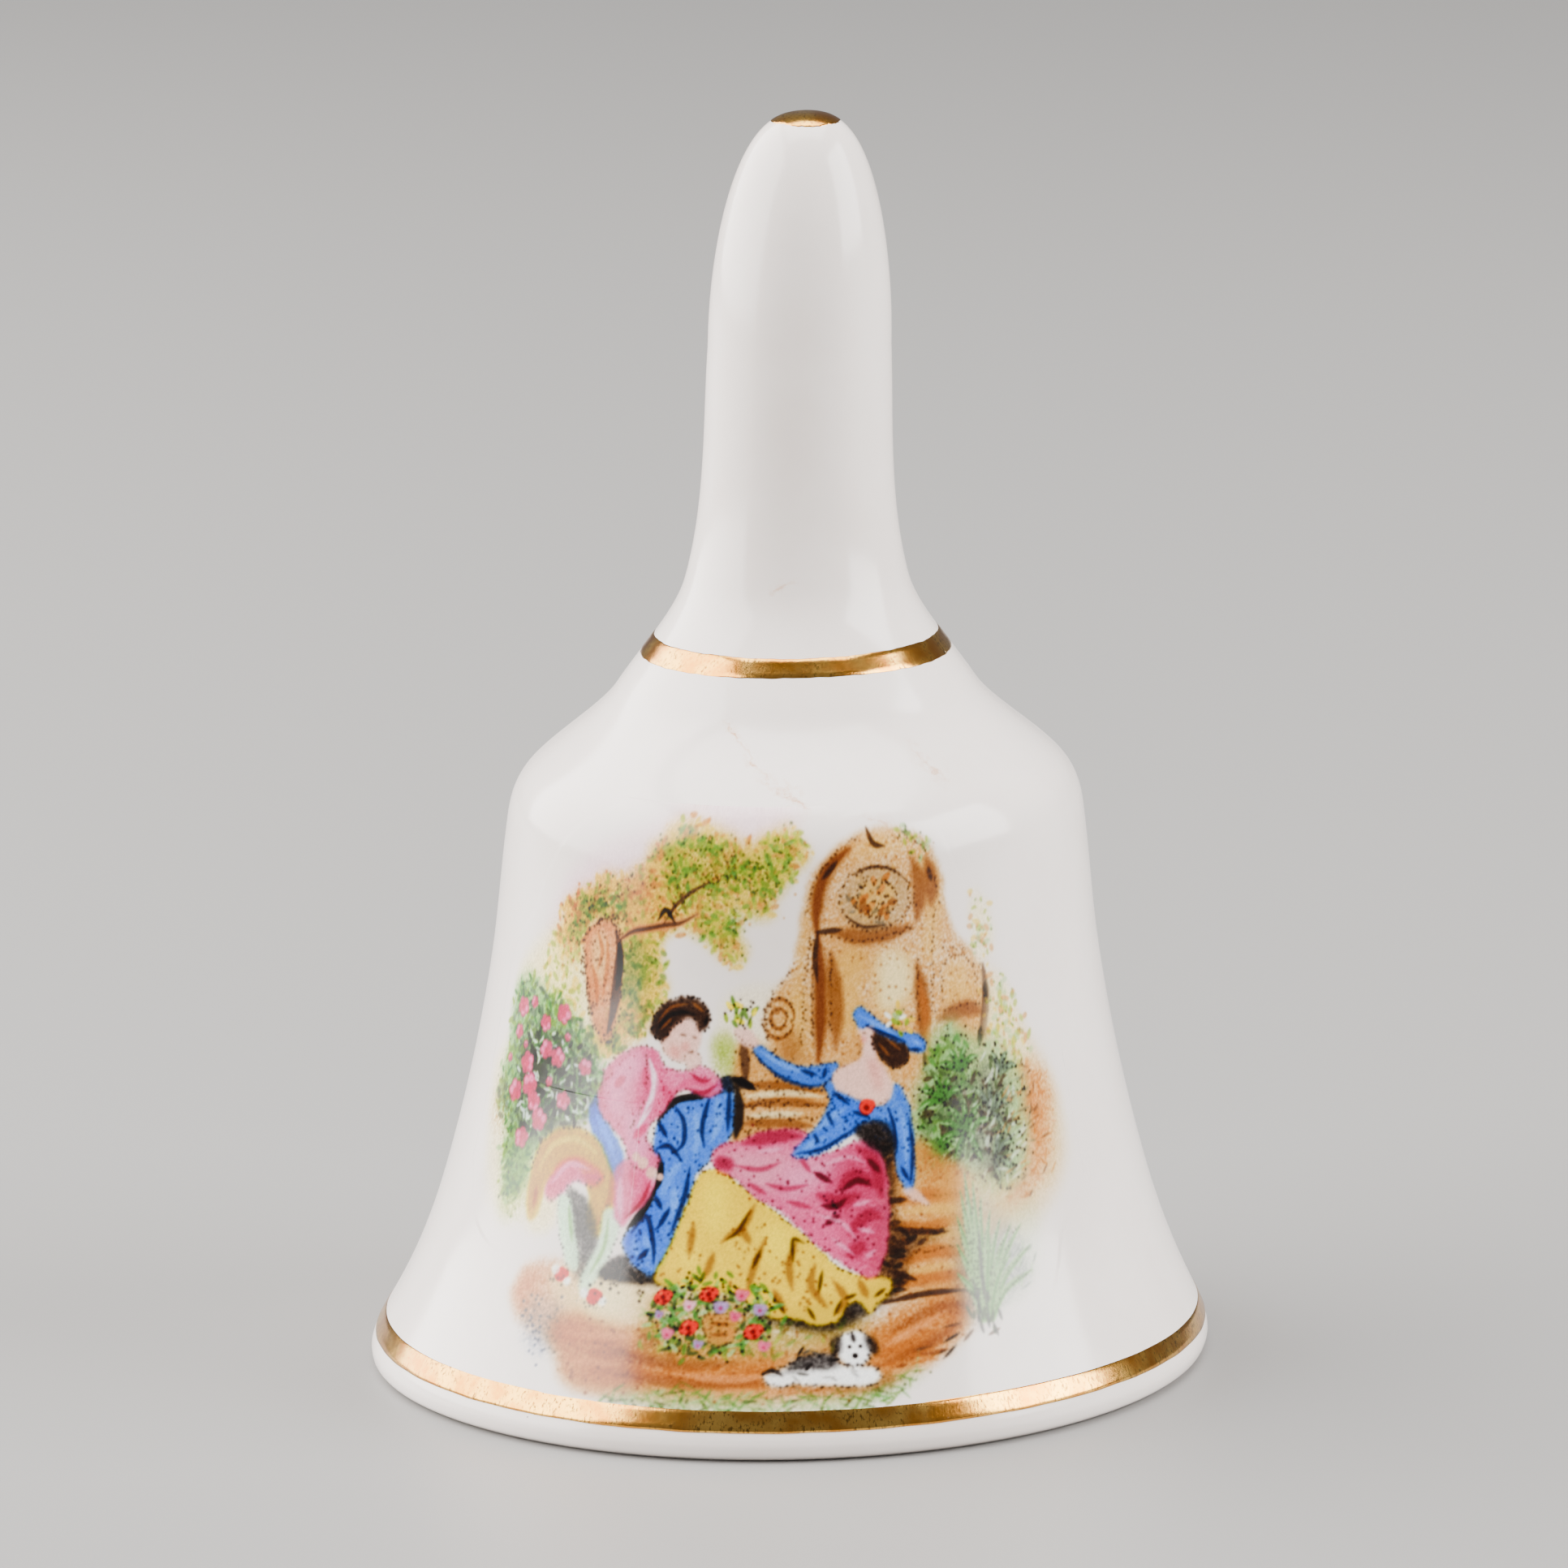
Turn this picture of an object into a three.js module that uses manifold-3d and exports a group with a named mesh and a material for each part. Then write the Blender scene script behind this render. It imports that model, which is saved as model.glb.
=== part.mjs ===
// A porcelain table bell with a wire-hung clapper. Millimetres, +Z up, origin at the centre of the
// rim plane, bell axis on Z.
//
// The porcelain shell is one casting: flared skirt, shoulder, neck and baluster handle. A wire staple
// is cemented into the hollow of the handle, a wire link hangs from the staple, a wire rod hangs from
// the link, and a bead that is free to turn rides low on the rod. The link lies in the YZ plane and
// turns about X on the staple; the rod's eye lies in the XZ plane and turns about Y on the link.

import * as THREE from 'three';
import { mergeVertices } from 'three/addons/utils/BufferGeometryUtils.js';
import Module from 'manifold-3d';

const wasm = await Module();
wasm.setup();

// ---- Driving dimensions, in millimetres ----

// Outside of the shell, from the rim plane up.
const lipHeight = 1.85; // rolled lip, up to the lower edge of the rim line
const rimLineHeight = 1; // plain step that carries the rim line
const lipStand = 0.63; // how far the lip stands out past the skirt's foot
const lineStand = 0.47; // how far the step's lower edge stands out
const mouthRadius = 24.82; // foot of the skirt, just above the rim line
const bodyHeight = 33.2; // rim plane to the start of the shoulder
const bodyRadius = 17.35; // at the start of the shoulder
const shoulderRise = 3.72;
const shoulderRadius = 15.81;
const coneRise = 4.56;
const coneRadius = 10.8;
const neckRise = 6.52;
const neckRadius = 6.63;
const handleRise = 14;
const handleRadius = 5.47;
const tipRise = 14;

// Bends of the outside: how steeply the radius changes with height at each station.
const mouthSlope = -0.536;
const flareSlope = -0.298;
const waistSlope = -0.163;
const bodySlope = -0.127;
const shoulderSlope = -1.009;
const coneSlope = -0.658;
const neckSlope = -0.267;
const handleSlope = -0.057;

// Where the skirt's two middle stations lie, as shares of the way up and of the way out.
const flareAt = { up: 0.273, out: 0.541 };
const waistAt = { up: 0.726, out: 0.134 };

// Roundness of the tip: powers of height and of radius.
const tipHeightPower = 1.919;
const tipRadiusPower = 2.713;

// Inside of the shell.
const wall = 2.2;
const footInset = 0.95; // lip's outermost point to the flat foot ring
const footWidth = 1.1; // flat ring that the bell stands on
const domeRise = 6.3; // inside of the shoulder, from its start to the ceiling
const handleHollowRadius = 3;
const handleHollowDepth = 18;
const lipRoundTop = 20; // degrees above its widest at which the lip's round meets the step

// Cement and wires.
const wireRadius = 0.5;
const stapleLegDepth = 8; // how far the legs go up past the ceiling
const cementAboveLegs = 3;
const cementCollarRadius = 4.4;
const cementCollarThickness = 1.2;
const collarFootShare = 0.62; // flat foot of the collar, as a share of its radius
const collarSwell = { out: 0.9, up: 0.4 }; // the collar's round, as shares of radius and thickness
const linkStraight = 4; // straight sides of the link
const tailRingRadius = 1.05; // centreline of the ring that ends the rod
const tailClearance = 2.4; // rim plane to the lowest point of the rod
const crimpRadius = 0.95;
const crimpLength = 1.2;
const crimpTaper = 0.2; // each end's taper, as a share of the crimp's length

// Bead.
const beadRadius = 4.2;

// Clearances.
const seatGap = 0.3; // between pieces that rest in or on each other
const turnGap = 0.3; // round the rod in the bead's bore
const hingeGap = 0.35; // between a wire and the bend that turns on it
const linkHeadroom = 0.4; // from the top of the link to the cement above it

// Facets.
const turnSegments = 48;
const wireSides = 12;
const bendSegments = 24;
const bowSegments = 8;
const stapleSteps = 40;
const skirtSteps = 4;
const topSteps = 3;
const tipSteps = 6;
const domeSteps = 7;
const hollowSteps = 4;
const outerLipSteps = 4;
const innerLipSteps = 3;
const ballSteps = 12;

// ---- Sizes that follow ----

const skirtFoot = lipHeight + rimLineHeight;
const shoulderHeight = bodyHeight + shoulderRise;
const coneHeight = shoulderHeight + coneRise;
const neckHeight = coneHeight + neckRise;
const handleHeight = neckHeight + handleRise;
const lipRadius = mouthRadius + lipStand;
const ceiling = bodyHeight + domeRise;
const legTop = ceiling + stapleLegDepth;
const bendRadius = 2 * wireRadius + hingeGap; // centreline of every bow, bend and eye
const cementReach = cementCollarRadius / (bodyRadius - wall);
const cementSeat = bodyHeight + domeRise * Math.sqrt(1 - cementReach ** 2) - seatGap;
const cementFoot = cementSeat - cementCollarThickness;
const linkPivot = cementFoot - linkHeadroom - bendRadius - wireRadius;
const rodPivot = linkPivot - linkStraight - bendRadius;
const eyeFoot = rodPivot - bendRadius;
const tailCentre = tailClearance + tailRingRadius + wireRadius;
const tailTop = tailCentre + tailRingRadius;
const beadFoot = tailTop + wireRadius + seatGap;
const beadCentre = beadFoot + beadRadius;
const crimpFoot = beadCentre + beadRadius + seatGap;

// ---- Helpers ----

function named(name, geometry, color, roughness, metalness) {
  const material = new THREE.MeshStandardMaterial({ color, roughness, metalness });
  const mesh = new THREE.Mesh(geometry, material);
  mesh.name = name;
  return mesh;
}

// A solid for joining and cutting, made from a closed geometry.
function solid(geometry) {
  const bare = geometry.clone();
  bare.deleteAttribute('normal');
  bare.deleteAttribute('uv');
  const merged = mergeVertices(bare, 1e-5);
  const vertProperties = new Float32Array(merged.attributes.position.array);
  const triVerts = new Uint32Array(merged.index.array);
  return new wasm.Manifold(new wasm.Mesh({ numProp: 3, vertProperties, triVerts }));
}

function geometryOf(manifold) {
  const { vertProperties, triVerts } = manifold.getMesh();
  const geometry = new THREE.BufferGeometry();
  geometry.setAttribute('position', new THREE.BufferAttribute(new Float32Array(vertProperties), 3));
  geometry.setIndex(new THREE.BufferAttribute(new Uint32Array(triVerts), 1));
  geometry.computeVertexNormals();
  return geometry;
}

// A solid of revolution about Z, from a profile of radius and height.
function turned(profile, segments = turnSegments) {
  return new THREE.LatheGeometry(profile, segments).rotateX(Math.PI / 2);
}

// Points on a smooth curve of radius against height between two stations.
function blend(low, high, steps) {
  const rise = high.height - low.height;
  const points = [];
  for (let i = 0; i < steps; i += 1) {
    const t = i / steps;
    const radius =
      (1 + 2 * t) * (1 - t) ** 2 * low.radius +
      t * (1 - t) ** 2 * rise * low.slope +
      t * t * (3 - 2 * t) * high.radius +
      t * t * (t - 1) * rise * high.slope;
    points.push(new THREE.Vector2(radius, low.height + t * rise));
  }
  return points;
}

// Points on a quarter of an ellipse, from its side to its top or bottom, both ends included.
function quarterRound(centre, radii, from, to, steps) {
  return Array.from({ length: steps + 1 }, (_, i) => {
    const angle = THREE.MathUtils.degToRad(from + ((to - from) * i) / steps);
    return new THREE.Vector2(
      centre.x + radii.x * Math.cos(angle),
      centre.y + radii.y * Math.sin(angle),
    );
  });
}

// Round wire along an open path.
function wireAlong(path, radius, steps) {
  const section = new THREE.Shape();
  for (let i = 0; i < wireSides; i += 1) {
    const angle = (2 * Math.PI * i) / wireSides;
    const corner = [radius * Math.cos(angle), radius * Math.sin(angle)];
    if (i === 0) section.moveTo(...corner);
    else section.lineTo(...corner);
  }
  return new THREE.ExtrudeGeometry(section, { steps, extrudePath: path });
}

// A closed loop of round wire in the XZ plane with straight sides: a ring pulled apart along Z.
function wireLoop(radius, straight, thickness) {
  const ring = new THREE.TorusGeometry(radius, thickness, wireSides, bendSegments);
  ring.rotateZ(Math.PI / bendSegments).rotateX(Math.PI / 2);
  const position = ring.attributes.position;
  for (let i = 0; i < position.count; i += 1) {
    const side = Math.sign(position.getZ(i));
    position.setZ(i, position.getZ(i) + (side * straight) / 2);
  }
  return ring;
}

// ---- Shell ----

// The skirt's outside between the step and the shoulder.
function skirtStation({ up, out }, slope) {
  return {
    height: skirtFoot + up * (bodyHeight - skirtFoot),
    radius: bodyRadius + out * (mouthRadius - bodyRadius),
    slope,
  };
}

const skirtStations = [
  { height: skirtFoot, radius: mouthRadius, slope: mouthSlope },
  skirtStation(flareAt, flareSlope),
  skirtStation(waistAt, waistSlope),
  { height: bodyHeight, radius: bodyRadius, slope: bodySlope },
];

const topStations = [
  { height: bodyHeight, radius: bodyRadius, slope: bodySlope },
  { height: shoulderHeight, radius: shoulderRadius, slope: shoulderSlope },
  { height: coneHeight, radius: coneRadius, slope: coneSlope },
  { height: neckHeight, radius: neckRadius, slope: neckSlope },
  { height: handleHeight, radius: handleRadius, slope: handleSlope },
];

function through(stations, steps) {
  return stations.slice(1).flatMap((high, i) => blend(stations[i], high, steps));
}

function tipPoints(steps) {
  return Array.from({ length: steps + 1 }, (_, i) => {
    const share = Math.sin((i / steps) * (Math.PI / 2));
    const radius = handleRadius * (1 - share ** tipHeightPower) ** (1 / tipRadiusPower);
    return new THREE.Vector2(i === steps ? 0 : radius, handleHeight + share * tipRise);
  });
}

function bellShell() {
  const skirt = through(skirtStations, skirtSteps);
  const lineFoot = new THREE.Vector2(mouthRadius + lineStand, lipHeight);
  const footOuter = lipRadius - footInset;
  const footInner = footOuter - footWidth;
  const lipMiddle = lipHeight / 2;
  const innerLip = skirt[0].x - wall;
  const outerLip = quarterRound(
    new THREE.Vector2(footOuter, lipMiddle),
    new THREE.Vector2(footInset, lipMiddle),
    -90,
    lipRoundTop,
    outerLipSteps,
  );
  const innerRound = quarterRound(
    new THREE.Vector2(footInner, skirtFoot),
    new THREE.Vector2(footInner - innerLip, skirtFoot),
    180,
    270,
    innerLipSteps,
  );
  const inside = skirt.slice(1).map((point) => new THREE.Vector2(point.x - wall, point.y));
  const dome = quarterRound(
    new THREE.Vector2(0, bodyHeight),
    new THREE.Vector2(bodyRadius - wall, domeRise),
    0,
    90,
    domeSteps,
  ).filter((point) => point.x > handleHollowRadius + seatGap);
  const hollowTop = ceiling + handleHollowDepth;
  const hollow = quarterRound(
    new THREE.Vector2(0, hollowTop - handleHollowRadius),
    new THREE.Vector2(handleHollowRadius, handleHollowRadius),
    90,
    0,
    hollowSteps,
  );
  hollow[0].x = 0;
  const profile = [
    ...hollow,
    new THREE.Vector2(handleHollowRadius, ceiling),
    ...dome.reverse(),
    ...inside.reverse(),
    ...innerRound,
    ...outerLip,
    lineFoot,
    ...skirt,
    ...through(topStations, topSteps),
    ...tipPoints(tipSteps),
  ];
  return turned(profile);
}

// ---- Staple and cement ----

// Two legs joined by a bow that hangs below the ceiling, in the XZ plane, as wire of a given radius.
function staple(radius, top) {
  const bowCentre = linkPivot + bendRadius;
  const bow = Array.from({ length: bowSegments + 1 }, (_, i) => {
    const angle = Math.PI * (1 + i / bowSegments);
    const x = bendRadius * Math.cos(angle);
    return new THREE.Vector3(x, 0, bowCentre + bendRadius * Math.sin(angle));
  });
  const corners = [new THREE.Vector3(-bendRadius, 0, top), ...bow, new THREE.Vector3(bendRadius, 0, top)];
  const path = new THREE.CurvePath();
  corners.slice(1).forEach((corner, i) => path.add(new THREE.LineCurve3(corners[i], corner)));
  return wireAlong(path, radius, stapleSteps);
}

function crownStaple() {
  return staple(wireRadius, legTop);
}

// Fills the mouth of the handle's hollow, spreads into a low collar under the ceiling, and is cored
// for the staple's legs.
function cementPlug() {
  const plugRadius = handleHollowRadius - seatGap;
  const plugTop = legTop + cementAboveLegs;
  const body = turned(
    [
      new THREE.Vector2(0, cementFoot),
      new THREE.Vector2(cementCollarRadius * collarFootShare, cementFoot),
      new THREE.Vector2(
        cementCollarRadius * collarSwell.out,
        cementFoot + cementCollarThickness * collarSwell.up,
      ),
      new THREE.Vector2(cementCollarRadius, cementSeat),
      new THREE.Vector2(plugRadius, cementSeat),
      new THREE.Vector2(plugRadius, plugTop),
      new THREE.Vector2(0, plugTop),
    ],
    turnSegments / 2,
  );
  const core = staple(wireRadius + seatGap, legTop + seatGap);
  return geometryOf(solid(body).subtract(solid(core)));
}

// ---- Link, rod and bead ----

// Geometry about the pivot on the staple.
function hangerLink() {
  const loop = wireLoop(bendRadius, linkStraight, wireRadius);
  return loop.rotateZ(Math.PI / 2).translate(0, 0, -linkStraight / 2);
}

// Geometry about the pivot on the link: an eye, a straight rod with a crimp that keeps the bead down,
// and a closed ring at the foot that keeps the bead on.
function clapperRod() {
  const down = (height) => height - rodPivot;
  const eye = wireLoop(bendRadius, 0, wireRadius);
  const tail = wireLoop(tailRingRadius, 0, wireRadius).translate(0, 0, down(tailCentre));
  const stem = turned(
    [
      new THREE.Vector2(0, down(tailTop)),
      new THREE.Vector2(wireRadius, down(tailTop)),
      new THREE.Vector2(wireRadius, down(crimpFoot)),
      new THREE.Vector2(crimpRadius, down(crimpFoot) + crimpLength * crimpTaper),
      new THREE.Vector2(crimpRadius, down(crimpFoot) + crimpLength * (1 - crimpTaper)),
      new THREE.Vector2(wireRadius, down(crimpFoot) + crimpLength),
      new THREE.Vector2(wireRadius, down(eyeFoot)),
      new THREE.Vector2(0, down(eyeFoot)),
    ],
    wireSides,
  );
  return geometryOf(solid(stem).add(solid(eye)).add(solid(tail)));
}

// A bored ball about its own centre.
function clapperBead() {
  const boreRadius = wireRadius + turnGap;
  const halfBore = Math.sqrt(beadRadius ** 2 - boreRadius ** 2);
  const edge = THREE.MathUtils.radToDeg(Math.atan2(halfBore, boreRadius));
  const ball = quarterRound(
    new THREE.Vector2(0, 0),
    new THREE.Vector2(beadRadius, beadRadius),
    -edge,
    edge,
    ballSteps,
  );
  return turned([...ball, ball[0].clone()], turnSegments / 2);
}

// ---- Assembly ----

const shell = new THREE.Group();
shell.add(named('bell_shell', bellShell(), 0xf1ebe4, 0.12, 0));
shell.add(named('cement_plug', cementPlug(), 0xb9b2a4, 0.95, 0));
shell.add(named('crown_staple', crownStaple(), 0xa98a4c, 0.35, 1));

const link = new THREE.Group();
link.position.z = linkPivot;
link.add(named('hanger_link', hangerLink(), 0xa98a4c, 0.35, 1));

const clapper = new THREE.Group();
clapper.position.z = rodPivot - linkPivot;
clapper.add(named('clapper_rod', clapperRod(), 0xa98a4c, 0.35, 1));
link.add(clapper);

const bead = named('clapper_bead', clapperBead(), 0xe8e0d4, 0.3, 0);
bead.position.z = beadCentre - rodPivot;
clapper.add(bead);

const bell = new THREE.Group();
bell.add(shell, link);

export default bell;
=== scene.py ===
"""Looks of a porcelain table bell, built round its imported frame.

The shell, its fired gold and its printed picture ride on the body that stands on the table. The wire
link, the rod and the bead ride on the bodies that swing inside it. Sizes are in millimetres and are
taken to metres where a mesh is made.
"""

from __future__ import annotations

import logging
import math
from dataclasses import dataclass, field
from enum import Enum
from typing import Sequence

import bpy
import numpy as np
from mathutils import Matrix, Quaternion, Vector


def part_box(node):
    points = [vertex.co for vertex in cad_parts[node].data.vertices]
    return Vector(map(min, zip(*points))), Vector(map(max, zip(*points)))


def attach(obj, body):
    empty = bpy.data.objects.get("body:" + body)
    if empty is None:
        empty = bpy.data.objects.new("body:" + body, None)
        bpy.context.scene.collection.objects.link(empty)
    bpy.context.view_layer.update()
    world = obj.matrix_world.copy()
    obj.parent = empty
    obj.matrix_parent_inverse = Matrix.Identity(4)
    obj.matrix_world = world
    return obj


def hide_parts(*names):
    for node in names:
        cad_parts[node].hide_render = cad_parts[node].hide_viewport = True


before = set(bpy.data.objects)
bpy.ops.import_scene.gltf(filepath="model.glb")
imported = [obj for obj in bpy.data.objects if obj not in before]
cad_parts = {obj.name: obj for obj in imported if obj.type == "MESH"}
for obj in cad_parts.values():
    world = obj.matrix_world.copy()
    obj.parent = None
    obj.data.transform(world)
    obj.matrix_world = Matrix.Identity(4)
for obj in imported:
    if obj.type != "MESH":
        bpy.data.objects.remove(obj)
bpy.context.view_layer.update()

MM = 0.001
LOG = logging.getLogger("bell")
SHARP = 0.3
KERNEL_REACH = 2.5

Outline = Sequence[float] | Sequence[tuple[float, float]]
Colour = tuple[float, float, float]


class Body(Enum):
    """The bodies of the frame."""

    SHELL = "shell"
    LINK = "link"
    CLAPPER = "clapper"
    BEAD = "bead"


class Slot(Enum):
    """Names for the pieces' finishes, passed to ride."""

    PORCELAIN = "porcelain"
    GILDING = "gilding"
    CEMENT = "cement"
    WIRE = "wire"
    BEAD = "bead"


class Plane(Enum):
    """The two upright planes that a wire is bent in."""

    FACING = "XZ"
    SIDEWAYS = "YZ"


def smooth_path(points: Outline, closed: bool, steps: int = 8) -> np.ndarray:
    """Puts a smooth curve through a few points.

    Args:
        points: Across and up in millimetres, in pairs or in turn.
        closed: Whether the curve runs back to its first point.
        steps: How many pieces each span is cut into.

    Returns:
        The curve's points, one a row.
    """
    p = np.array(points, float).reshape(-1, 2)
    before = np.roll(p, 1, 0) if closed else np.vstack([p[:1], p[:-1]])
    after = np.roll(p, -1, 0) if closed else np.vstack([p[1:], p[-1:]])
    beyond = np.roll(p, -2, 0) if closed else np.vstack([p[2:], p[-1:], p[-1:]])
    spans = len(p) if closed else len(p) - 1
    t = (np.arange(steps) / steps)[None, :, None]
    a, b, c, d = (x[:spans, None, :] for x in (before, p, after, beyond))
    square, cube = 2 * a - 5 * b + 4 * c - d, 3 * b - a - 3 * c + d
    curve = 0.5 * (2 * b + (c - a) * t + square * t**2 + cube * t**3)
    curve = curve.reshape(-1, 2)
    return curve if closed else np.vstack([curve, p[-1:]])


def soften(grid: np.ndarray, sigma: float) -> np.ndarray:
    """Blurs a grid with a bell-shaped kernel of the given width in cells.

    Args:
        grid: The grid.
        sigma: The kernel's width, in cells.

    Returns:
        The blurred grid.
    """
    if sigma < SHARP:
        return grid
    reach = math.ceil(KERNEL_REACH * sigma)
    kernel = np.exp(-0.5 * (np.arange(-reach, reach + 1) / sigma) ** 2)
    kernel /= kernel.sum()
    padded = np.pad(grid, reach, mode="edge")
    rows, columns = grid.shape
    across = sum(k * padded[:, i : i + columns] for i, k in enumerate(kernel))
    return sum(k * across[i : i + rows] for i, k in enumerate(kernel))


@dataclass
class PrintCanvas:
    """A flat sheet of enamel, laid out in millimetres round and up the bell."""

    left: float
    right: float
    low: float
    high: float
    ground: Colour
    per_mm: float = 24.0
    seed: int = 11
    grains: tuple[float, float, float] = (0.1, 0.4, 1.6)

    def __post_init__(self) -> None:
        """Lays out the grid and its grain."""
        self.columns = int((self.right - self.left) * self.per_mm)
        self.rows = int((self.high - self.low) * self.per_mm)
        self.across = self.left + (np.arange(self.columns) + 0.5) / self.per_mm
        self.up = self.low + (np.arange(self.rows) + 0.5) / self.per_mm
        self.colour = np.ones((self.rows, self.columns, 3)) * np.array(self.ground)
        self.cover = np.zeros((self.rows, self.columns))
        self.random = np.random.default_rng(self.seed)
        self.fine, self.middle, self.broad = (self.cloud(grain) for grain in self.grains)

    def cloud(self, cell: float) -> np.ndarray:
        """Makes smooth noise from 0 to 1 with lumps of the given size in millimetres.

        Args:
            cell: Size of a lump, in millimetres.

        Returns:
            The noise, one value a cell.
        """
        size = cell * self.per_mm
        values = self.random.random((int(self.rows / size) + 3, int(self.columns / size) + 3))
        row, column = np.arange(self.rows) / size, np.arange(self.columns) / size
        i, j = row.astype(int), column.astype(int)
        s, t = row - i, column - j
        s, t = (s * s * (3 - 2 * s))[:, None], (t * t * (3 - 2 * t))[None, :]
        top = values[i][:, j] * (1 - t) + values[i][:, j + 1] * t
        foot = values[i + 1][:, j] * (1 - t) + values[i + 1][:, j + 1] * t
        return top * (1 - s) + foot * s

    def lay(self, alpha: np.ndarray, colour: Colour, part: tuple[slice, slice]) -> None:
        """Lays one colour over a part of the sheet, as thick as alpha says."""
        self.colour[part] += (np.array(colour) - self.colour[part]) * alpha[..., None]
        self.cover[part] += (1 - self.cover[part]) * alpha

    def part(self, low: np.ndarray, high: np.ndarray) -> tuple[slice, slice]:
        """The rows and columns between two corners in millimetres.

        Args:
            low: The lower left corner.
            high: The upper right corner.

        Returns:
            The rows and the columns.
        """
        corners = ((np.array([low, high]) - (self.left, self.low)) * self.per_mm).astype(int) + [[0], [1]]
        columns, rows = np.clip(corners, 0, (self.columns, self.rows)).T
        return slice(*rows), slice(*columns)

    def settle(self, spread: float, grit: float) -> None:
        """Lets the enamel sink in: softens it by a spread in millimetres and leaves a fine grit.

        Args:
            spread: How far it spreads, in millimetres.
            grit: How strong the grit is.
        """
        for k in range(3):
            self.colour[..., k] = soften(self.colour[..., k], spread * self.per_mm)
        self.cover = soften(self.cover, spread * self.per_mm)
        grain = self.random.random(self.cover.shape) + self.fine - 1
        self.colour += (grain * grit * np.minimum(1, 2 * self.cover))[..., None]

    def shape(self, outline: Outline, soft: float = 0.05, ragged: float = 0.12) -> np.ndarray:
        """Makes a stencil from an outline.

        Args:
            outline: Points of the outline, in order.
            soft: Width of the blurred edge, in millimetres.
            ragged: How far the edge wanders, in millimetres.

        Returns:
            The stencil, 1 inside and 0 outside.
        """
        curve = smooth_path(outline, True)
        reach = 3 * soft + ragged + 0.1
        part = self.part(curve.min(0) - reach, curve.max(0) + reach)
        x = self.across[None, part[1]] + ragged * 2 * (self.middle[part] - 0.5)
        y = self.up[part[0], None] + ragged * 2 * (self.fine[part] - 0.5)
        inside = np.zeros(x.shape, bool)
        for (x0, y0), (x1, y1) in zip(curve, np.roll(curve, -1, 0)):
            if y0 != y1:
                inside ^= ((y0 > y) != (y1 > y)) & (x < x0 + (y - y0) * (x1 - x0) / (y1 - y0))
        stencil = np.zeros_like(self.cover)
        stencil[part] = soften(inside.astype(float), soft * self.per_mm)
        return stencil

    def wash(self, outline: Outline, colour: Colour, soft: float = 0.06, strength: float = 1.0,
             grain: float = 0.2, ragged: float = 0.08, within: np.ndarray | None = None) -> np.ndarray:
        """Fills an outline with colour.

        Args:
            outline: Points of the outline, in order.
            colour: The colour to lay.
            soft: Width of the blurred edge, in millimetres.
            strength: How opaque the colour is.
            grain: How much the colour thins in its grain.
            ragged: How far the edge wanders, in millimetres.
            within: A stencil that the wash stays inside.

        Returns:
            The outline's own stencil.
        """
        stencil = self.shape(outline, soft, ragged)
        rows, columns = np.nonzero(stencil.any(1))[0], np.nonzero(stencil.any(0))[0]
        part = (slice(rows[0], rows[-1] + 1), slice(columns[0], columns[-1] + 1))
        alpha = stencil[part] if within is None else stencil[part] * within[part]
        grit = 1 - grain * self.fine[part] * (0.4 + 1.2 * self.broad[part])
        self.lay(alpha * strength * grit, colour, part)
        return stencil

    def discs(self, centres: Outline | np.ndarray, radii: Sequence[float] | np.ndarray, colour: Colour,
              strength: float = 1.0, soft: float = 0.05, within: np.ndarray | None = None) -> None:
        """Lays many small round spots of one colour, which don't build up where they meet.

        Args:
            centres: The spots' middles.
            radii: Their radii, in millimetres.
            colour: Their colour.
            strength: How opaque they are.
            soft: Width of their edge, in millimetres.
            within: A stencil that they stay inside.
        """
        centres, radii = np.reshape(centres, (-1, 2)), np.asarray(radii)
        if not len(centres):
            return
        spare = radii.max() + soft + 0.1
        part = self.part(centres.min(0) - spare, centres.max(0) + spare)
        alpha = np.zeros_like(self.cover[part])
        column = (centres[:, 0] - self.left) * self.per_mm - 0.5 - part[1].start
        row = (centres[:, 1] - self.low) * self.per_mm - 0.5 - part[0].start
        size, edge = radii * self.per_mm, max(soft * self.per_mm, 0.6)
        i0, j0 = np.round(row).astype(int), np.round(column).astype(int)
        reach = int(math.ceil(size.max() + edge))
        for di in range(-reach, reach + 1):
            for dj in range(-reach, reach + 1):
                i, j = i0 + di, j0 + dj
                away = np.hypot(i - row, j - column)
                inside = (i >= 0) & (i < alpha.shape[0]) & (j >= 0) & (j < alpha.shape[1])
                keep = inside & (away < size + edge)
                value = np.clip((size - away) / edge + 0.5, 0, 1)
                np.maximum.at(alpha, (i[keep], j[keep]), value[keep])
        if within is not None:
            alpha *= within[part]
        self.lay(alpha * strength, colour, part)

    def measured(self, points: Outline, closed: bool) -> tuple[np.ndarray, np.ndarray]:
        """A smooth path's points, and how far along it each one lies."""
        path = smooth_path(points, closed, 16)
        return path, np.concatenate([[0], np.cumsum(np.hypot(*np.diff(path, axis=0).T))])

    def line(self, points: Outline, width: float, colour: Colour, strength: float = 1.0,
             taper: tuple[float, float] = (0.4, 0.4), soft: float = 0.06,
             within: np.ndarray | None = None) -> None:
        """Draws a brush stroke, thinner at its ends.

        Args:
            points: Points of the stroke.
            width: Its full width, in millimetres.
            colour: Its colour.
            strength: How opaque it is.
            taper: The share of its width left at each end.
            soft: Width of its edge, in millimetres.
            within: A stencil that it stays inside.
        """
        path, lengths = self.measured(points, False)
        count = max(3, int(lengths[-1] / max(0.12 * width, 0.03)))
        share = np.linspace(0, 1, count)
        at = np.stack([np.interp(share * lengths[-1], lengths, path[:, k]) for k in (0, 1)], 1)
        start, end = np.interp(share, [0, 0.3], [taper[0], 1]), np.interp(share, [0.7, 1], [1, taper[1]])
        self.discs(at, 0.5 * width * np.minimum(start, end), colour, strength, soft, within)

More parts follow.
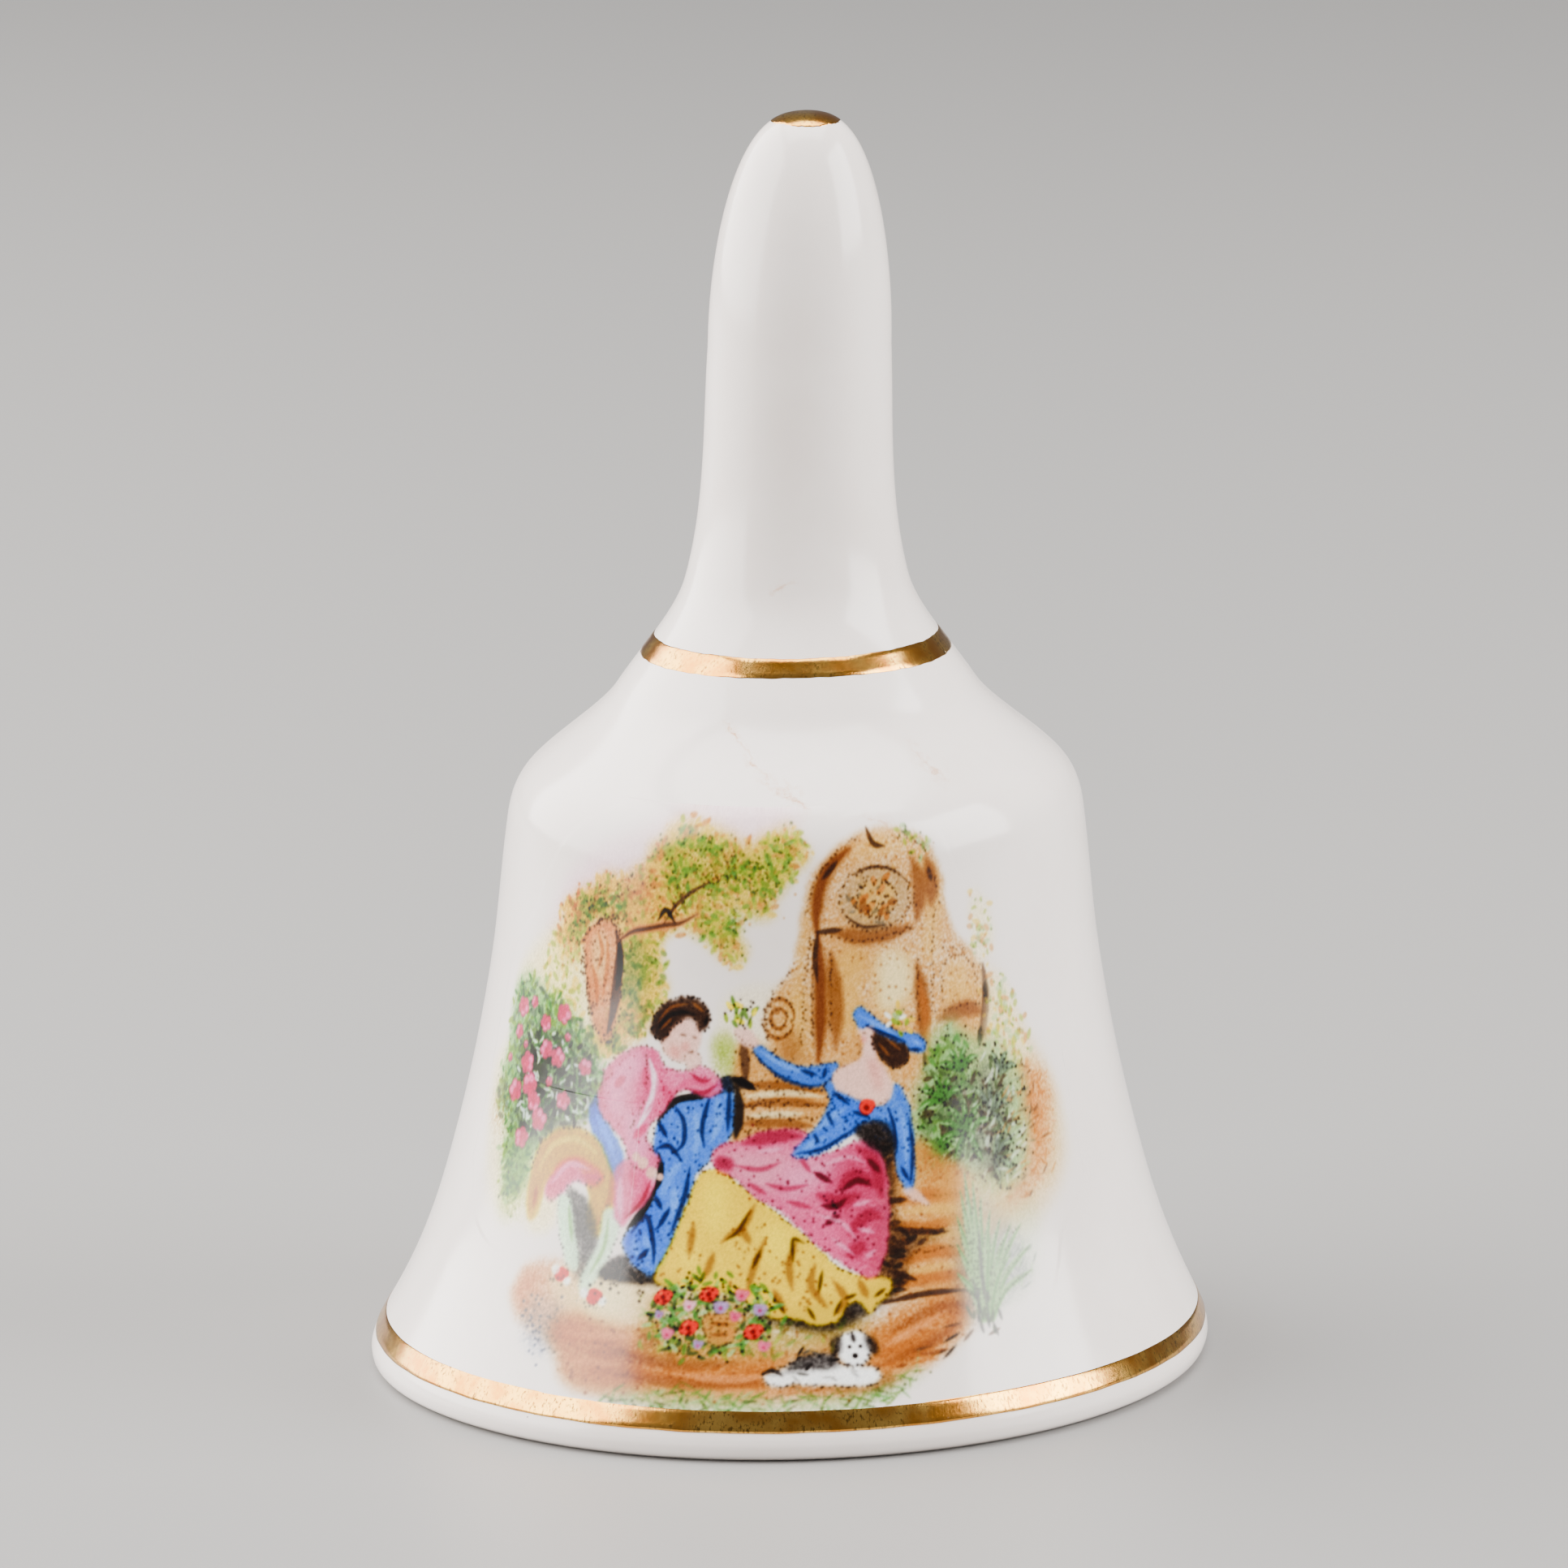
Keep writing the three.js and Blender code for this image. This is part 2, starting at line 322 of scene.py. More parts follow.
    def dotted(self, points: Outline, colour: Colour, per_mm: float = 5.0, size: float = 0.07,
               spread: float = 0.08, strength: float = 0.75, closed: bool = False) -> None:
        """Sets small dots along a path, as an engraver's point does.

        Args:
            points: Points of the path.
            colour: The dots' colour.
            per_mm: How many dots lie on a millimetre.
            size: Their radius, in millimetres.
            spread: How far they stray, in millimetres.
            strength: How opaque they are.
            closed: Whether the path is a loop.
        """
        path, lengths = self.measured(points, closed)
        count = max(2, int(lengths[-1] * per_mm))
        share = (np.arange(count) + self.random.random(count) * 0.5) / count * lengths[-1]
        at = np.stack([np.interp(share, lengths, path[:, k]) for k in (0, 1)], 1)
        at += self.random.normal(0, spread, at.shape)
        self.discs(at, size * self.random.uniform(0.4, 1.1, count), colour, strength * 0.9)

    def specks(self, outline: Outline, colour: Colour, per_mm2: float, size: float = 0.07,
               strength: float = 0.8, soft: float = 0.3, within: np.ndarray | None = None) -> None:
        """Scatters dots over an outline, fewer towards its edge.

        Args:
            outline: Points of the outline.
            colour: The dots' colour.
            per_mm2: How many dots lie on a square millimetre.
            size: Their radius, in millimetres.
            strength: How opaque they are.
            soft: Width of the region's thinning edge.
            within: A stencil that they stay inside.
        """
        stencil = self.shape(outline, soft)
        if within is not None:
            stencil = stencil * within
        self.scatter(stencil, colour, per_mm2, size, strength)

    def scatter(self, stencil: np.ndarray, colour: Colour, per_mm2: float, size: float = 0.07,
                strength: float = 0.8) -> None:
        """Scatters dots where a stencil lets them through.

        Args:
            stencil: How readily each cell lets a dot through.
            colour: The dots' colour.
            per_mm2: How many dots lie on a square millimetre.
            size: Their radius, in millimetres.
            strength: How opaque they are.
        """
        i, j = np.nonzero(stencil > 0.02)
        chance = stencil[i, j] * per_mm2 / self.per_mm**2
        hit = self.random.random(len(i)) < chance
        at = np.stack([self.across[j[hit]], self.up[i[hit]]], 1)
        self.discs(at, size * self.random.uniform(0.5, 1.2, len(at)), colour, strength)

    def dabs(self, outline: Outline, colours: Sequence[Colour], per_mm2: float, length: float = 0.7,
             width: float = 0.28, lean: float = 0.0, spread: float = 1.0, strength: float = 0.85,
             soft: float = 0.25) -> None:
        """Fills an outline with short brush dabs, such as leaves.

        Args:
            outline: Points of the outline, in order.
            colours: Colours to take in turn.
            per_mm2: How many dabs lie on a square millimetre.
            length: Length of a dab.
            width: Width of a dab.
            lean: Direction of the dabs, in radians from across.
            spread: How far the direction strays, in radians.
            strength: How opaque a dab is.
            soft: Width of the region's thinning edge.
        """
        stencil = self.shape(outline, soft)
        for colour in colours:
            i, j = np.nonzero(stencil > 0.02)
            hit = self.random.random(len(i)) < stencil[i, j] * per_mm2 / len(colours) / self.per_mm**2
            at = np.stack([self.across[j[hit]], self.up[i[hit]]], 1)
            turn = lean + self.random.normal(0, spread, len(at))
            long = length * self.random.uniform(0.6, 1.2, len(at))
            share = np.linspace(-0.5, 0.5, 7)
            along = share[None, :] * long[:, None]
            steps = np.stack([along * np.cos(turn)[:, None], along * np.sin(turn)[:, None]], 2)
            spots = at[:, None, :] + steps
            swell = np.tile(0.5 * width * np.sqrt(1 - 3.2 * share**2), (len(at), 1))
            self.discs(spots.reshape(-1, 2), swell.ravel(), colour, strength)


# ---- The printed picture ----


class Ink:
    """Enamel colours of the print, as seen on a screen."""

    ground = (0.946, 0.907, 0.883)
    black = (0.13, 0.09, 0.08)
    sepia = (0.30, 0.19, 0.12)
    bark = (0.43, 0.31, 0.23)
    peach = (0.87, 0.67, 0.48)
    skin = (0.92, 0.79, 0.74)
    blush = (0.86, 0.58, 0.55)
    cream = (0.95, 0.90, 0.76)
    yellow = (0.90, 0.78, 0.33)
    lime = (0.62, 0.70, 0.20)
    leaf = (0.45, 0.57, 0.25)
    fern = (0.40, 0.60, 0.30)
    moss = (0.33, 0.38, 0.22)
    pale_leaf = (0.70, 0.79, 0.60)
    grey_leaf = (0.52, 0.56, 0.50)
    shade = (0.40, 0.38, 0.36)
    rust = (0.80, 0.56, 0.27)
    earth = (0.74, 0.49, 0.18)
    dark_earth = (0.55, 0.33, 0.16)
    stone = (0.82, 0.62, 0.33)
    sand = (0.88, 0.74, 0.44)
    stone_shade = (0.60, 0.40, 0.19)
    pink = (0.88, 0.50, 0.64)
    pale_pink = (0.93, 0.73, 0.80)
    rose = (0.86, 0.45, 0.60)
    crimson = (0.66, 0.14, 0.32)
    maroon = (0.42, 0.08, 0.16)
    red = (0.87, 0.20, 0.14)
    blue = (0.33, 0.55, 0.85)
    pale_blue = (0.58, 0.74, 0.94)
    navy = (0.11, 0.15, 0.32)
    gold = (0.92, 0.81, 0.0)
    pale_gold = (0.98, 0.90, 0.10)
    umber = (0.56, 0.36, 0.10)
    hair = (0.30, 0.19, 0.12)
    lilac = (0.74, 0.62, 0.78)
    white = (0.96, 0.95, 0.94)


@dataclass
class GardenPicture:
    """A couple resting in a garden: a general scene in the manner of old transfer prints.

    Places are in millimetres round the bell from its front and up from the table.
    """

    canvas: PrintCanvas = field(default_factory=lambda: PrintCanvas(-24.5, 19.5, 2.75, 37.0, Ink.ground))

    def paint(self) -> PrintCanvas:
        """Paints the whole picture, back to front.

        Returns:
            The painted sheet.
        """
        self.halo()
        self.canopy()
        self.rose_bush()
        self.monument()
        self.right_foliage()
        self.steps()
        self.ground()
        self.trunk()
        self.bench()
        self.grass()
        self.gentleman()
        self.lady()
        self.basket()
        self.dog()
        self.canvas.settle(0.045, 0.05)
        return self.canvas

    def strokes(self, paths: Sequence[Outline], width: float, colour: Colour, strength: float = 0.75,
            within: np.ndarray | None = None, soft: float = 0.13) -> None:
        """Draws several brush strokes of one kind."""
        for path in paths:
            self.canvas.line(path, width, colour, strength, (0.25, 0.25), soft, within)

    def foliage(self, outline: Outline, base: Colour, colours: Sequence[Colour], dots: Colour,
            thick: float = 5.0, dot_rate: float = 3.0, length: float = 0.6, strength: float = 0.5) -> None:
        """Fills an outline with a soft wash, leafy dabs and dark dots.

        Args:
            outline: Points of the outline.
            base: The wash's colour.
            colours: The dabs' colours.
            dots: The dots' colour.
            thick: How many dabs lie on a square millimetre.
            dot_rate: How many dots lie on one.
            length: Length of a dab.
            strength: How opaque a dab is.
        """
        self.canvas.wash(outline, base, 0.35, 0.95, 0.3, 0.5)
        self.canvas.dabs(outline, colours, thick, length, 0.34, 0.2, 1.2, strength, 0.35)
        self.canvas.dabs(outline, colours, thick, length * 0.5, 0.2, 0.2, 1.5, strength, 0.3)
        self.canvas.specks(outline, dots, dot_rate, 0.075, 0.7, 0.3)

    def halo(self) -> None:
        """Faint tints that fade into the white all round."""
        c = self.canvas
        c.wash([-17, 33, -12, 35.5, -8, 37.2, 0, 37, -2, 33, -12, 31, -19, 28], Ink.pale_pink, 0.9, 0.30)
        c.wash([-22.5, 25.5, -19.5, 28.5, -17, 30, -14, 28, -14, 23, -19, 23], Ink.cream, 0.6, 0.75)
        c.wash([-23.5, 17, -21, 12.5, -17, 12, -15, 15, -17, 22, -23.5, 21], Ink.cream, 0.7, 0.55)
        c.wash([12, 12, 17.5, 14, 18.3, 19, 15, 24, 13, 27, 11, 22], Ink.sand, 0.7, 0.55)
        c.wash([-4, 20, -5, 26, -1, 27, 0, 23], Ink.cream, 0.4, 0.5)
        c.wash([8, 8, 13, 8, 15, 12.5, 11, 14], Ink.pale_leaf, 0.6, 0.30)

    def canopy(self) -> None:
        """The spreading tree's leaves."""
        c = self.canvas
        whole = [-18.2, 28.2, -17.7, 30.4, -16.4, 31.5, -15, 32, -14, 32.8, -12.4, 32.8, -11, 33.6,
            -10.3, 35, -9.3, 35.9, -8, 36.3, -6.4, 36.1, -5.2, 35.8, -4.2, 35.3, -3, 35.2, -1.9, 35.7,
            -0.8, 36.1, 0.2, 35.6, 0.8, 34.8, 0.2, 33.9, -0.7, 33.3, -1.3, 32.2, -1.6, 31.3, -2.5, 30.9,
            -3.6, 31.3, -4.7, 31.0, -3.9, 30.0, -3.3, 29.0, -3.8, 28.2, -4.7, 28.3, -5.7, 29.3, -6.9, 29.8,
            -8.2, 30.3, -9.6, 29.4, -12, 29.2, -14, 30.4, -15.6, 29.4, -16.2, 27.6, -17.4, 26.8]
        self.foliage(whole, Ink.yellow, (Ink.yellow, Ink.lime, Ink.yellow, Ink.rust), Ink.moss, 5.0, 2.2)
        greens = ([-9.5, 33.2, -9, 35, -7.5, 35.8, -5, 35.2, -3.6, 34.2, -4, 32.6, -6, 32, -8.3, 31.8],
            [-4.4, 33.8, -2.6, 34.9, -1, 35.7, 0.3, 34.9, -0.6, 33.6, -1.6, 32.2, -3.4, 32.2], [-16.8, 29,
            -16, 30.8, -13.5, 31.8, -12.2, 31, -14, 30.6, -15.8, 29.6], [-6.8, 30.6, -4.6, 31.6, -2, 31.3,
            -4, 30.5, -3.8, 28.9, -5.2, 29.3])
        for patch in greens:
            c.wash(patch, Ink.lime, 0.4, 0.55, 0.9, 0.5)
            c.dabs(patch, (Ink.leaf, Ink.lime, Ink.fern), 4.5, 0.55, 0.3, 0.3, 1.2, 0.5)
            c.specks(patch, Ink.moss, 5.5, 0.08, 0.8)
        for patch in ([-15.5, 31, -13, 32.6, -10.6, 33.4, -10.6, 31.9, -13, 31.4], [-11, 31.2, -8.4, 32.3,
            -7, 31.2, -9.6, 30.4], [-6.6, 32.8, -5.4, 34.6, -3.4, 35, -5, 33.2]):
            c.wash(patch, Ink.rust, 0.45, 0.45, 1.2, 0.5)
            c.specks(patch, Ink.bark, 3.5, 0.08, 0.7)
        under = [-12.3, 29.3, -10, 29.8, -9, 28.8, -9.4, 27.6, -8.6, 26.8, -9.4, 25.6, -9.9, 24.2,
            -11.2, 23.2, -13, 22.2, -14.5, 22.8, -12.9, 24.8, -12.2, 27]
        self.foliage(under, Ink.yellow, (Ink.lime, Ink.yellow, Ink.leaf), Ink.moss, 5.0, 3.0)
        c.wash([-12, 28.6, -10.6, 29.2, -9.6, 27.4, -10.8, 25.8, -12, 26.2], Ink.leaf, 0.4, 0.55, 1.0)
        c.wash([-11, 25.4, -9.7, 25, -10.4, 23.6, -12.4, 22.8], Ink.rust, 0.4, 0.35, 1.0)
        left = [-19.5, 26, -18.4, 28.4, -16.4, 28, -15.4, 26.2, -15.2, 23.6, -17.6, 24.6]
        self.foliage(left, Ink.cream, (Ink.yellow, Ink.cream, Ink.lime), Ink.lime, 4.0, 1.5, 0.6, 0.35)
        self.canvas.specks(whole, Ink.rust, 3.0, 0.1, 0.5, 0.5)

    def trunk(self) -> None:
        """The tree's trunk and its two branches."""
        c = self.canvas
        outline = [-15.5, 29, -14.6, 30, -13.4, 30.2, -12.5, 29.4, -12.2, 27.5, -12.2, 25.5, -12.4, 24,
            -13, 23, -14.4, 24.4, -15.1, 26.5, -15.5, 28]
        stencil = c.wash(outline, Ink.peach, 0.12, 0.95, 0.3)
        c.wash([-14.9, 28.6, -14, 29.6, -13.3, 28.4, -13.6, 26.6, -14.5, 26.8], Ink.cream, 0.25, 0.5, 0.3)
        self.strokes([[-14.4, 29.4, -13.9, 28.3, -14.2, 27.2], [-13.6, 29.2, -13.4, 27.6, -13.6, 25.6],
            [-14.7, 27.4, -14.2, 26.4, -14, 25]], 0.32, Ink.rust, 0.5, stencil)
        self.strokes([[-12.9, 29.6, -12.5, 28.6, -12.5, 27, -12.6, 25.2, -12.9, 23.6]], 0.7, Ink.bark,
            0.75)
        self.strokes([[-12.6, 29, -12.35, 27.6, -12.5, 26.2]], 0.4, Ink.black, 0.6)
        branch = [-12.7, 29.0, -11.6, 29.7, -10.4, 30.0, -9.1, 30.3, -8.0, 30.5, -6.8, 31.1]
        self.strokes([branch], 0.55, Ink.peach, 0.95)
        self.strokes([branch, [-9.2, 30.4, -8.5, 31.4, -7.4, 32.3, -6.0, 33.0]], 0.26, Ink.bark, 0.8)
        self.strokes([[-9.6, 30.6, -9.1, 31.2, -8.4, 30.5]], 0.3, Ink.black, 0.7)
        for path in (outline[:12], outline[12:]):
            c.dotted(path, Ink.sepia, 7, 0.08, 0.10)
        c.dotted([-15.7, 28.8, -15.2, 26.6, -14.2, 24.4], Ink.bark, 6, 0.09, 0.14)
        c.dotted([-14.6, 30.1, -13.2, 30.5, -12.2, 30], Ink.bark, 8, 0.09, 0.14)
        c.specks(outline, Ink.bark, 3.5, 0.07, 0.6)
        c.dotted([-8.4, 31.5, -7, 32.5, -5.4, 33.2, -4, 33.3], Ink.sepia, 6, 0.08, 0.12)

    def rose_bush(self) -> None:
        """The bush of pink roses."""
        c = self.canvas
        whole = [-22.6, 24.6, -21.2, 25.8, -19.4, 25.4, -17.6, 25, -15.8, 24.2, -14, 22.8, -13, 21.2,
            -13.3, 19.4, -14.6, 18.2, -16.4, 17.7, -17.8, 16, -18.2, 13.8, -19.6, 13, -20.6, 15,
            -21.4, 17.2, -23, 18, -22.6, 20.4, -22.4, 22.6]
        self.foliage(whole, Ink.pale_leaf, (Ink.pale_leaf, Ink.lime, Ink.grey_leaf), Ink.moss, 6.0, 2.0,
            0.6, 0.5)
        dark = [-20.4, 22.3, -18.6, 22.8, -16.2, 22.6, -14, 21.6, -13.3, 20, -13.8, 18.6, -15.6, 17.9,
            -17, 17.4, -18.6, 16.4, -19.6, 17.6, -20.4, 19.6]
        c.wash(dark, Ink.shade, 0.5, 0.7, 0.6, 0.4)
        c.dabs(dark, (Ink.shade, Ink.moss, Ink.black), 4.0, 0.5, 0.28, 0.6, 1.2, 0.5)
        c.dabs(dark, (Ink.pale_leaf, Ink.grey_leaf, Ink.white), 5.0, 0.55, 0.22, 0.5, 1.3, 0.75)
        c.dabs(whole, (Ink.pale_leaf, Ink.fern), 2.5, 0.6, 0.22, 0.5, 1.3, 0.6)
        c.wash([-23.2, 18.6, -21.6, 19, -21, 16.8, -22.8, 16.6], Ink.rust, 0.4, 0.35, 1.2)
        c.wash([-20.4, 16, -18.2, 15.8, -18, 12.4, -19.6, 12], Ink.lime, 0.5, 0.45, 1.0)
        c.specks([-20.4, 16, -18.2, 15.8, -17.8, 12, -19.8, 12], Ink.leaf, 4, 0.08, 0.6)
        roses = ((-21.3, 23.9, .50), (-21.4, 22.4, .36), (-20, 24.4, .30), (-18.5, 23.4, .42),
            (-16.8, 24.2, .50), (-18.1, 21.9, .48), (-16.9, 21.6, .50), (-14.4, 21.4, .42),
            (-19.9, 20.8, .55), (-20.8, 19, .55), (-19.3, 19.6, .58), (-18.6, 18.7, .48),
            (-17.8, 17.8, .55), (-15.9, 19.2, .46), (-19.2, 16.5, .52), (-22.1, 20.7, .22),
            (-20.4, 21.8, .2), (-17.4, 20.1, .25), (-16.2, 22.9, .22))
        for u, v, r in roses:
            turn = c.random.uniform(0, 6.3)
            petals = [(u + r * 0.75 * math.cos(turn + a), v + r * 0.65 * math.sin(turn + a))
                for a in (0, 1.3, 2.5, 3.8, 5)]
            c.discs(petals, np.full(5, r * 0.62), Ink.pink, 0.9, 0.12)
            c.discs(petals[:2], np.full(2, r * 0.42), Ink.pale_pink, 0.75, 0.12)
            c.discs([(u, v - 0.1), petals[3]], [r * 0.36, r * 0.26], Ink.rose, 0.75, 0.1)
            c.dotted([(u - r, v - r * 0.7), (u, v - r), (u + r, v - r * 0.4)], Ink.crimson, 3, 0.06, 0.08,
                0.5)

    def monument(self) -> None:
        """The carved stone monument with its arch, medallion, panel and wing."""
        c = self.canvas
        body = [-1.9, 23.6, -2, 25.2, -1.5, 26.6, -0.5, 27.8, 0, 29.4, 0.2, 31.2, 0.6, 32.7, 1.5, 34,
            2.9, 35.1, 4.4, 35.7, 6, 35.9, 8, 35.6, 9.4, 34.8, 10.1, 33, 10.5, 31, 11, 29.3, 12.4, 28.1,
            13.2, 26.6, 13.3, 24.6, 12.8, 22.6, 12, 19.5, 9.6, 17.5, 4, 20, -1, 20.5]
        stone = c.wash(body, Ink.stone, 0.22, 0.92, 0.55, 0.15)
        sands = ([0.2, 24, 0.4, 28, 0.8, 31, 1.6, 33, 3, 34.7, 1.4, 33.4, 0.3, 31, -0.2, 27.8], [2.4, 24.4,
            2.6, 28.6, 4.6, 28.8, 4.2, 26.4, 4.4, 24.6], [5.2, 25.2, 5.0, 28.4, 7.4, 28.6, 7.6, 26,
            6.2, 25], [8.5, 28.6, 9, 31.6, 8.2, 34.6, 9.2, 34, 10, 31.6, 9.4, 28], [9.9, 25.6, 10.2, 27.6,
            11.6, 27.6, 12.2, 25.8, 11, 25], [3.4, 34.6, 6, 35.5, 8, 35, 6.8, 34.6, 5, 34.4], [-0.4, 23,
            0.6, 23, 0.6, 26.6, -0.6, 26.4])
        for patch in sands:
            c.wash(patch, Ink.sand, 0.35, 0.8, 0.4, 0.15, stone)
        c.wash([5.5, 25.2, 5.4, 28.3, 7.3, 28.4, 7.6, 26.2], Ink.cream, 0.35, 0.85, 0.2, 0.1, stone)
        browns = [[3.6, 34.9, 2.2, 33.9, 1.5, 32.6, 1.25, 31, 1.3, 30], [1.4, 29.9, 1.5, 27, 1.45, 24.2,
            1.3, 22.6], [2.3, 30.1, 4.6, 29.7, 7.8, 30.0], [8.1, 27.8, 8.35, 25.4, 8.1, 23.2], [9.1, 34,
            9.4, 32.6, 9.3, 31.2], [2.2, 28.8, 2.5, 26, 2.4, 23.4], [8.2, 30.4, 8.5, 32.4, 8, 34],
            [9.4, 24.4, 11.4, 24.8, 12.8, 24.4]]
        self.strokes(browns, 1.0, Ink.stone_shade, 0.75, stone, 0.4)
        self.strokes([browns[0], browns[1]], 0.55, Ink.dark_earth, 0.7, stone, 0.2)
        self.strokes([[1.35, 30.1, 1.15, 28.6, 1.3, 27.2], [2.7, 34.2, 1.7, 33.2], [9.2, 33.4, 9.4, 32.6],
            [1.2, 30.1, 3, 30.2], [8.2, 22.6, 8.3, 21.2], [4.9, 36, 5.3, 35.1, 6.1, 34.9]], 0.34,
            Ink.sepia, 0.75, None, 0.12)
        self.strokes([[8.15, 27, 8.5, 24.6, 8.4, 22], [6.2, 24.6, 6.4, 23.2], [10.2, 22.5, 9.9, 19.5]],
            0.6, Ink.earth, 0.6, stone, 0.25)
        self.strokes([[13.1, 27.2, 13.15, 25.4, 12.7, 23.6, 12.2, 22.4]], 0.6, Ink.bark, 0.85, None, 0.15)
        self.strokes([[13.2, 26.2, 13.1, 25.0], [12.5, 23.6, 12.2, 22.6]], 0.4, Ink.black, 0.75, None,
            0.12)
        turn = np.linspace(0, 2 * math.pi, 21)[:-1]
        ring = [(5.3 + 2.5 * math.cos(a), 31.9 + 1.85 * math.sin(a)) for a in turn]
        middle = [(5.35 + 1.45 * math.cos(a), 31.9 + 1.1 * math.sin(a)) for a in turn]
        c.wash(ring, (0.76, 0.66, 0.50), 0.2, 0.85, 0.4, 0.1)
        c.wash(middle, Ink.sand, 0.2, 0.8, 0.4, 0.15)
        c.dabs(middle, (Ink.earth, Ink.rust, Ink.stone_shade), 5, 0.6, 0.4, 0.8, 1.0, 0.75)
        c.dabs(ring, (Ink.sand, Ink.shade), 1.6, 0.4, 0.2, 0.8, 1.5, 0.5)
        c.specks(middle, Ink.sepia, 5, 0.09, 0.7)
        self.strokes([ring[2:8], [3.2, 31, 4.4, 30.3, 6, 30.3]], 0.2, Ink.sepia, 0.7)
        for path in (ring, middle):
            c.dotted(path, Ink.sepia, 5, 0.085, 0.10, 0.8, True)
        for path in ([0.3, 23.5, 0.5, 27, 0.9, 30], [0.9, 24, 1, 27, 1.0, 29.8], [2.1, 24.4, 2.2, 28.8],
            [1.5, 30, 4.5, 29.5, 8, 30], [8, 24.6, 8.1, 28.4], [9, 25, 9.3, 29, 9.6, 31.4], [8.2, 30.4,
            8.1, 32.6], [0.5, 31, 1.2, 33.2, 2.8, 34.8, 4.4, 35.5], [6.4, 35.4, 8.2, 35.1, 9.5, 34],
            [9.8, 25.4, 9.9, 27.4, 11.2, 28, 12.4, 27, 12.5, 25.3], [9.3, 24.9, 12.6, 24.9], [12.9, 27.6,
            13.3, 25.6, 12.9, 23.6], [10.1, 28.6, 12, 28.2], [-1.9, 23.8, -2, 25.4, -1.4, 26.8,
            -0.4, 27.9], [9.6, 32.8, 9.9, 31]):
            c.dotted(path, Ink.sepia, 4.5, 0.08, 0.07)
        c.specks(body, Ink.stone_shade, 1.6, 0.08, 0.6)
        for r in (1.0, 0.5):
            scroll = [(-1.2 + r * math.cos(a), 25.1 + 1.15 * r * math.sin(a)) for a in turn]
            c.line(scroll, 0.3, Ink.stone_shade, 0.7, within=stone)
            c.dotted(scroll, Ink.sepia, 4.5, 0.085, 0.08, 0.8, True)
        c.wash([-0.9, 24.2, 0.2, 24.2, 0.4, 22.6, -1, 22.6], Ink.stone_shade, 0.3, 0.5, 0.4)
        moss = [6.8, 35.9, 8.4, 35.9, 9.3, 34.9, 8.6, 34, 7.8, 34.6]
        c.dabs(moss, (Ink.lime, Ink.leaf, Ink.pale_leaf), 5, 0.4, 0.25, 0, 1.5, 0.6)
        c.specks(moss, Ink.moss, 5, 0.08, 0.7)

    def right_foliage(self) -> None:
        """The leaves beside the monument and the big fern."""
        c = self.canvas
        upper = [12.4, 31.5, 13.6, 30.8, 13.8, 28.6, 13.3, 26.8, 15, 26, 15.6, 24, 16.2, 22, 15.8, 20.4,
            13.4, 21.6, 12.8, 23.4, 13.4, 25, 12.6, 28.6]
        self.foliage(upper, Ink.cream, (Ink.lime, Ink.yellow, Ink.rust, Ink.pale_leaf), Ink.leaf, 3.6, 2.2,
            0.5, 0.45)
        fringe = [14.4, 20.6, 16.2, 20.8, 17.4, 20, 17.8, 18.6, 17.2, 16.6, 16.6, 14.8, 15.2, 13.8,
            13.2, 12.9, 12.3, 13.8, 13.8, 15.6, 14.8, 17.6]
        c.wash(fringe, Ink.peach, 0.45, 0.9, 0.5, 0.4)
        c.wash([14.8, 20.4, 16.6, 20.4, 17.4, 18.4, 16.4, 16.4, 15, 16.8], Ink.rust, 0.45, 0.6, 0.8, 0.3)
        c.dabs(fringe, (Ink.rust, Ink.peach, Ink.bark, Ink.earth), 3.6, 0.7, 0.14, 0.5, 0.5, 0.6)
        c.specks(fringe, Ink.rust, 5, 0.08, 0.6)
        mass = [8.3, 23.4, 10, 24.2, 11.4, 23.4, 12.6, 22.8, 14.6, 22, 15.4, 20, 15.3, 17.5, 14.6, 15,
            12.6, 13.8, 10.2, 14.4, 8.2, 15, 6.9, 16.2, 7.2, 18.6, 7.3, 20.6, 8.4, 21.8]
        c.wash(mass, Ink.pale_leaf, 0.4, 0.95, 0.3, 0.4)
        deep = [8, 20, 9.2, 21.4, 11, 21, 12.6, 21.6, 14, 20.4, 14, 18.4, 13.4, 15.6, 11.8, 14.8,
            10.6, 16.4, 8.8, 16, 7.8, 17.4]
        c.wash(deep, Ink.shade, 0.5, 0.72, 0.7, 0.4)
        green = [7.2, 17, 7.6, 19.6, 8.4, 22.4, 10, 23.8, 11.3, 22.6, 11.6, 20, 11.2, 17.4, 9.6, 15.6]
        c.wash(green, Ink.fern, 0.4, 0.6, 0.9, 0.4)
        c.dabs(green, (Ink.fern, Ink.leaf, Ink.pale_leaf), 3.6, 0.7, 0.3, 0.6, 1.0, 0.65)
        c.dabs(deep, (Ink.sepia, Ink.moss), 2.6, 0.8, 0.3, 0.6, 1.2, 0.6)
        for base, turns, long in (((10.6, 17.6), (0.3, 0.9, 1.5, 2.1, 2.7, 3.3, 4.2, 5.2), 2.0),
            ((9.2, 19.6), (0.4, 1.1, 1.8, 2.6, 3.3), 1.7), ((12.6, 18.6), (0.2, 0.8, 1.5, 2.2, 5.3), 1.9),
            ((12.4, 16), (0.4, 1.0, 4.8, 5.6), 1.8), ((8.8, 16.6), (0.7, 1.6, 2.5, 3.4), 1.3),
            ((10.6, 21.2), (0.5, 1.2, 2.0, 2.8), 1.6), ((13.6, 20.6), (0.2, 1.0, 1.9), 1.5)):
            for turn in turns:
                end = (base[0] + long * math.cos(turn), base[1] + long * math.sin(turn))
                mid = ((base[0] + end[0]) / 2, (base[1] + end[1]) / 2 + 0.25)
                ink = Ink.fern if base[0] < 11.5 else Ink.grey_leaf
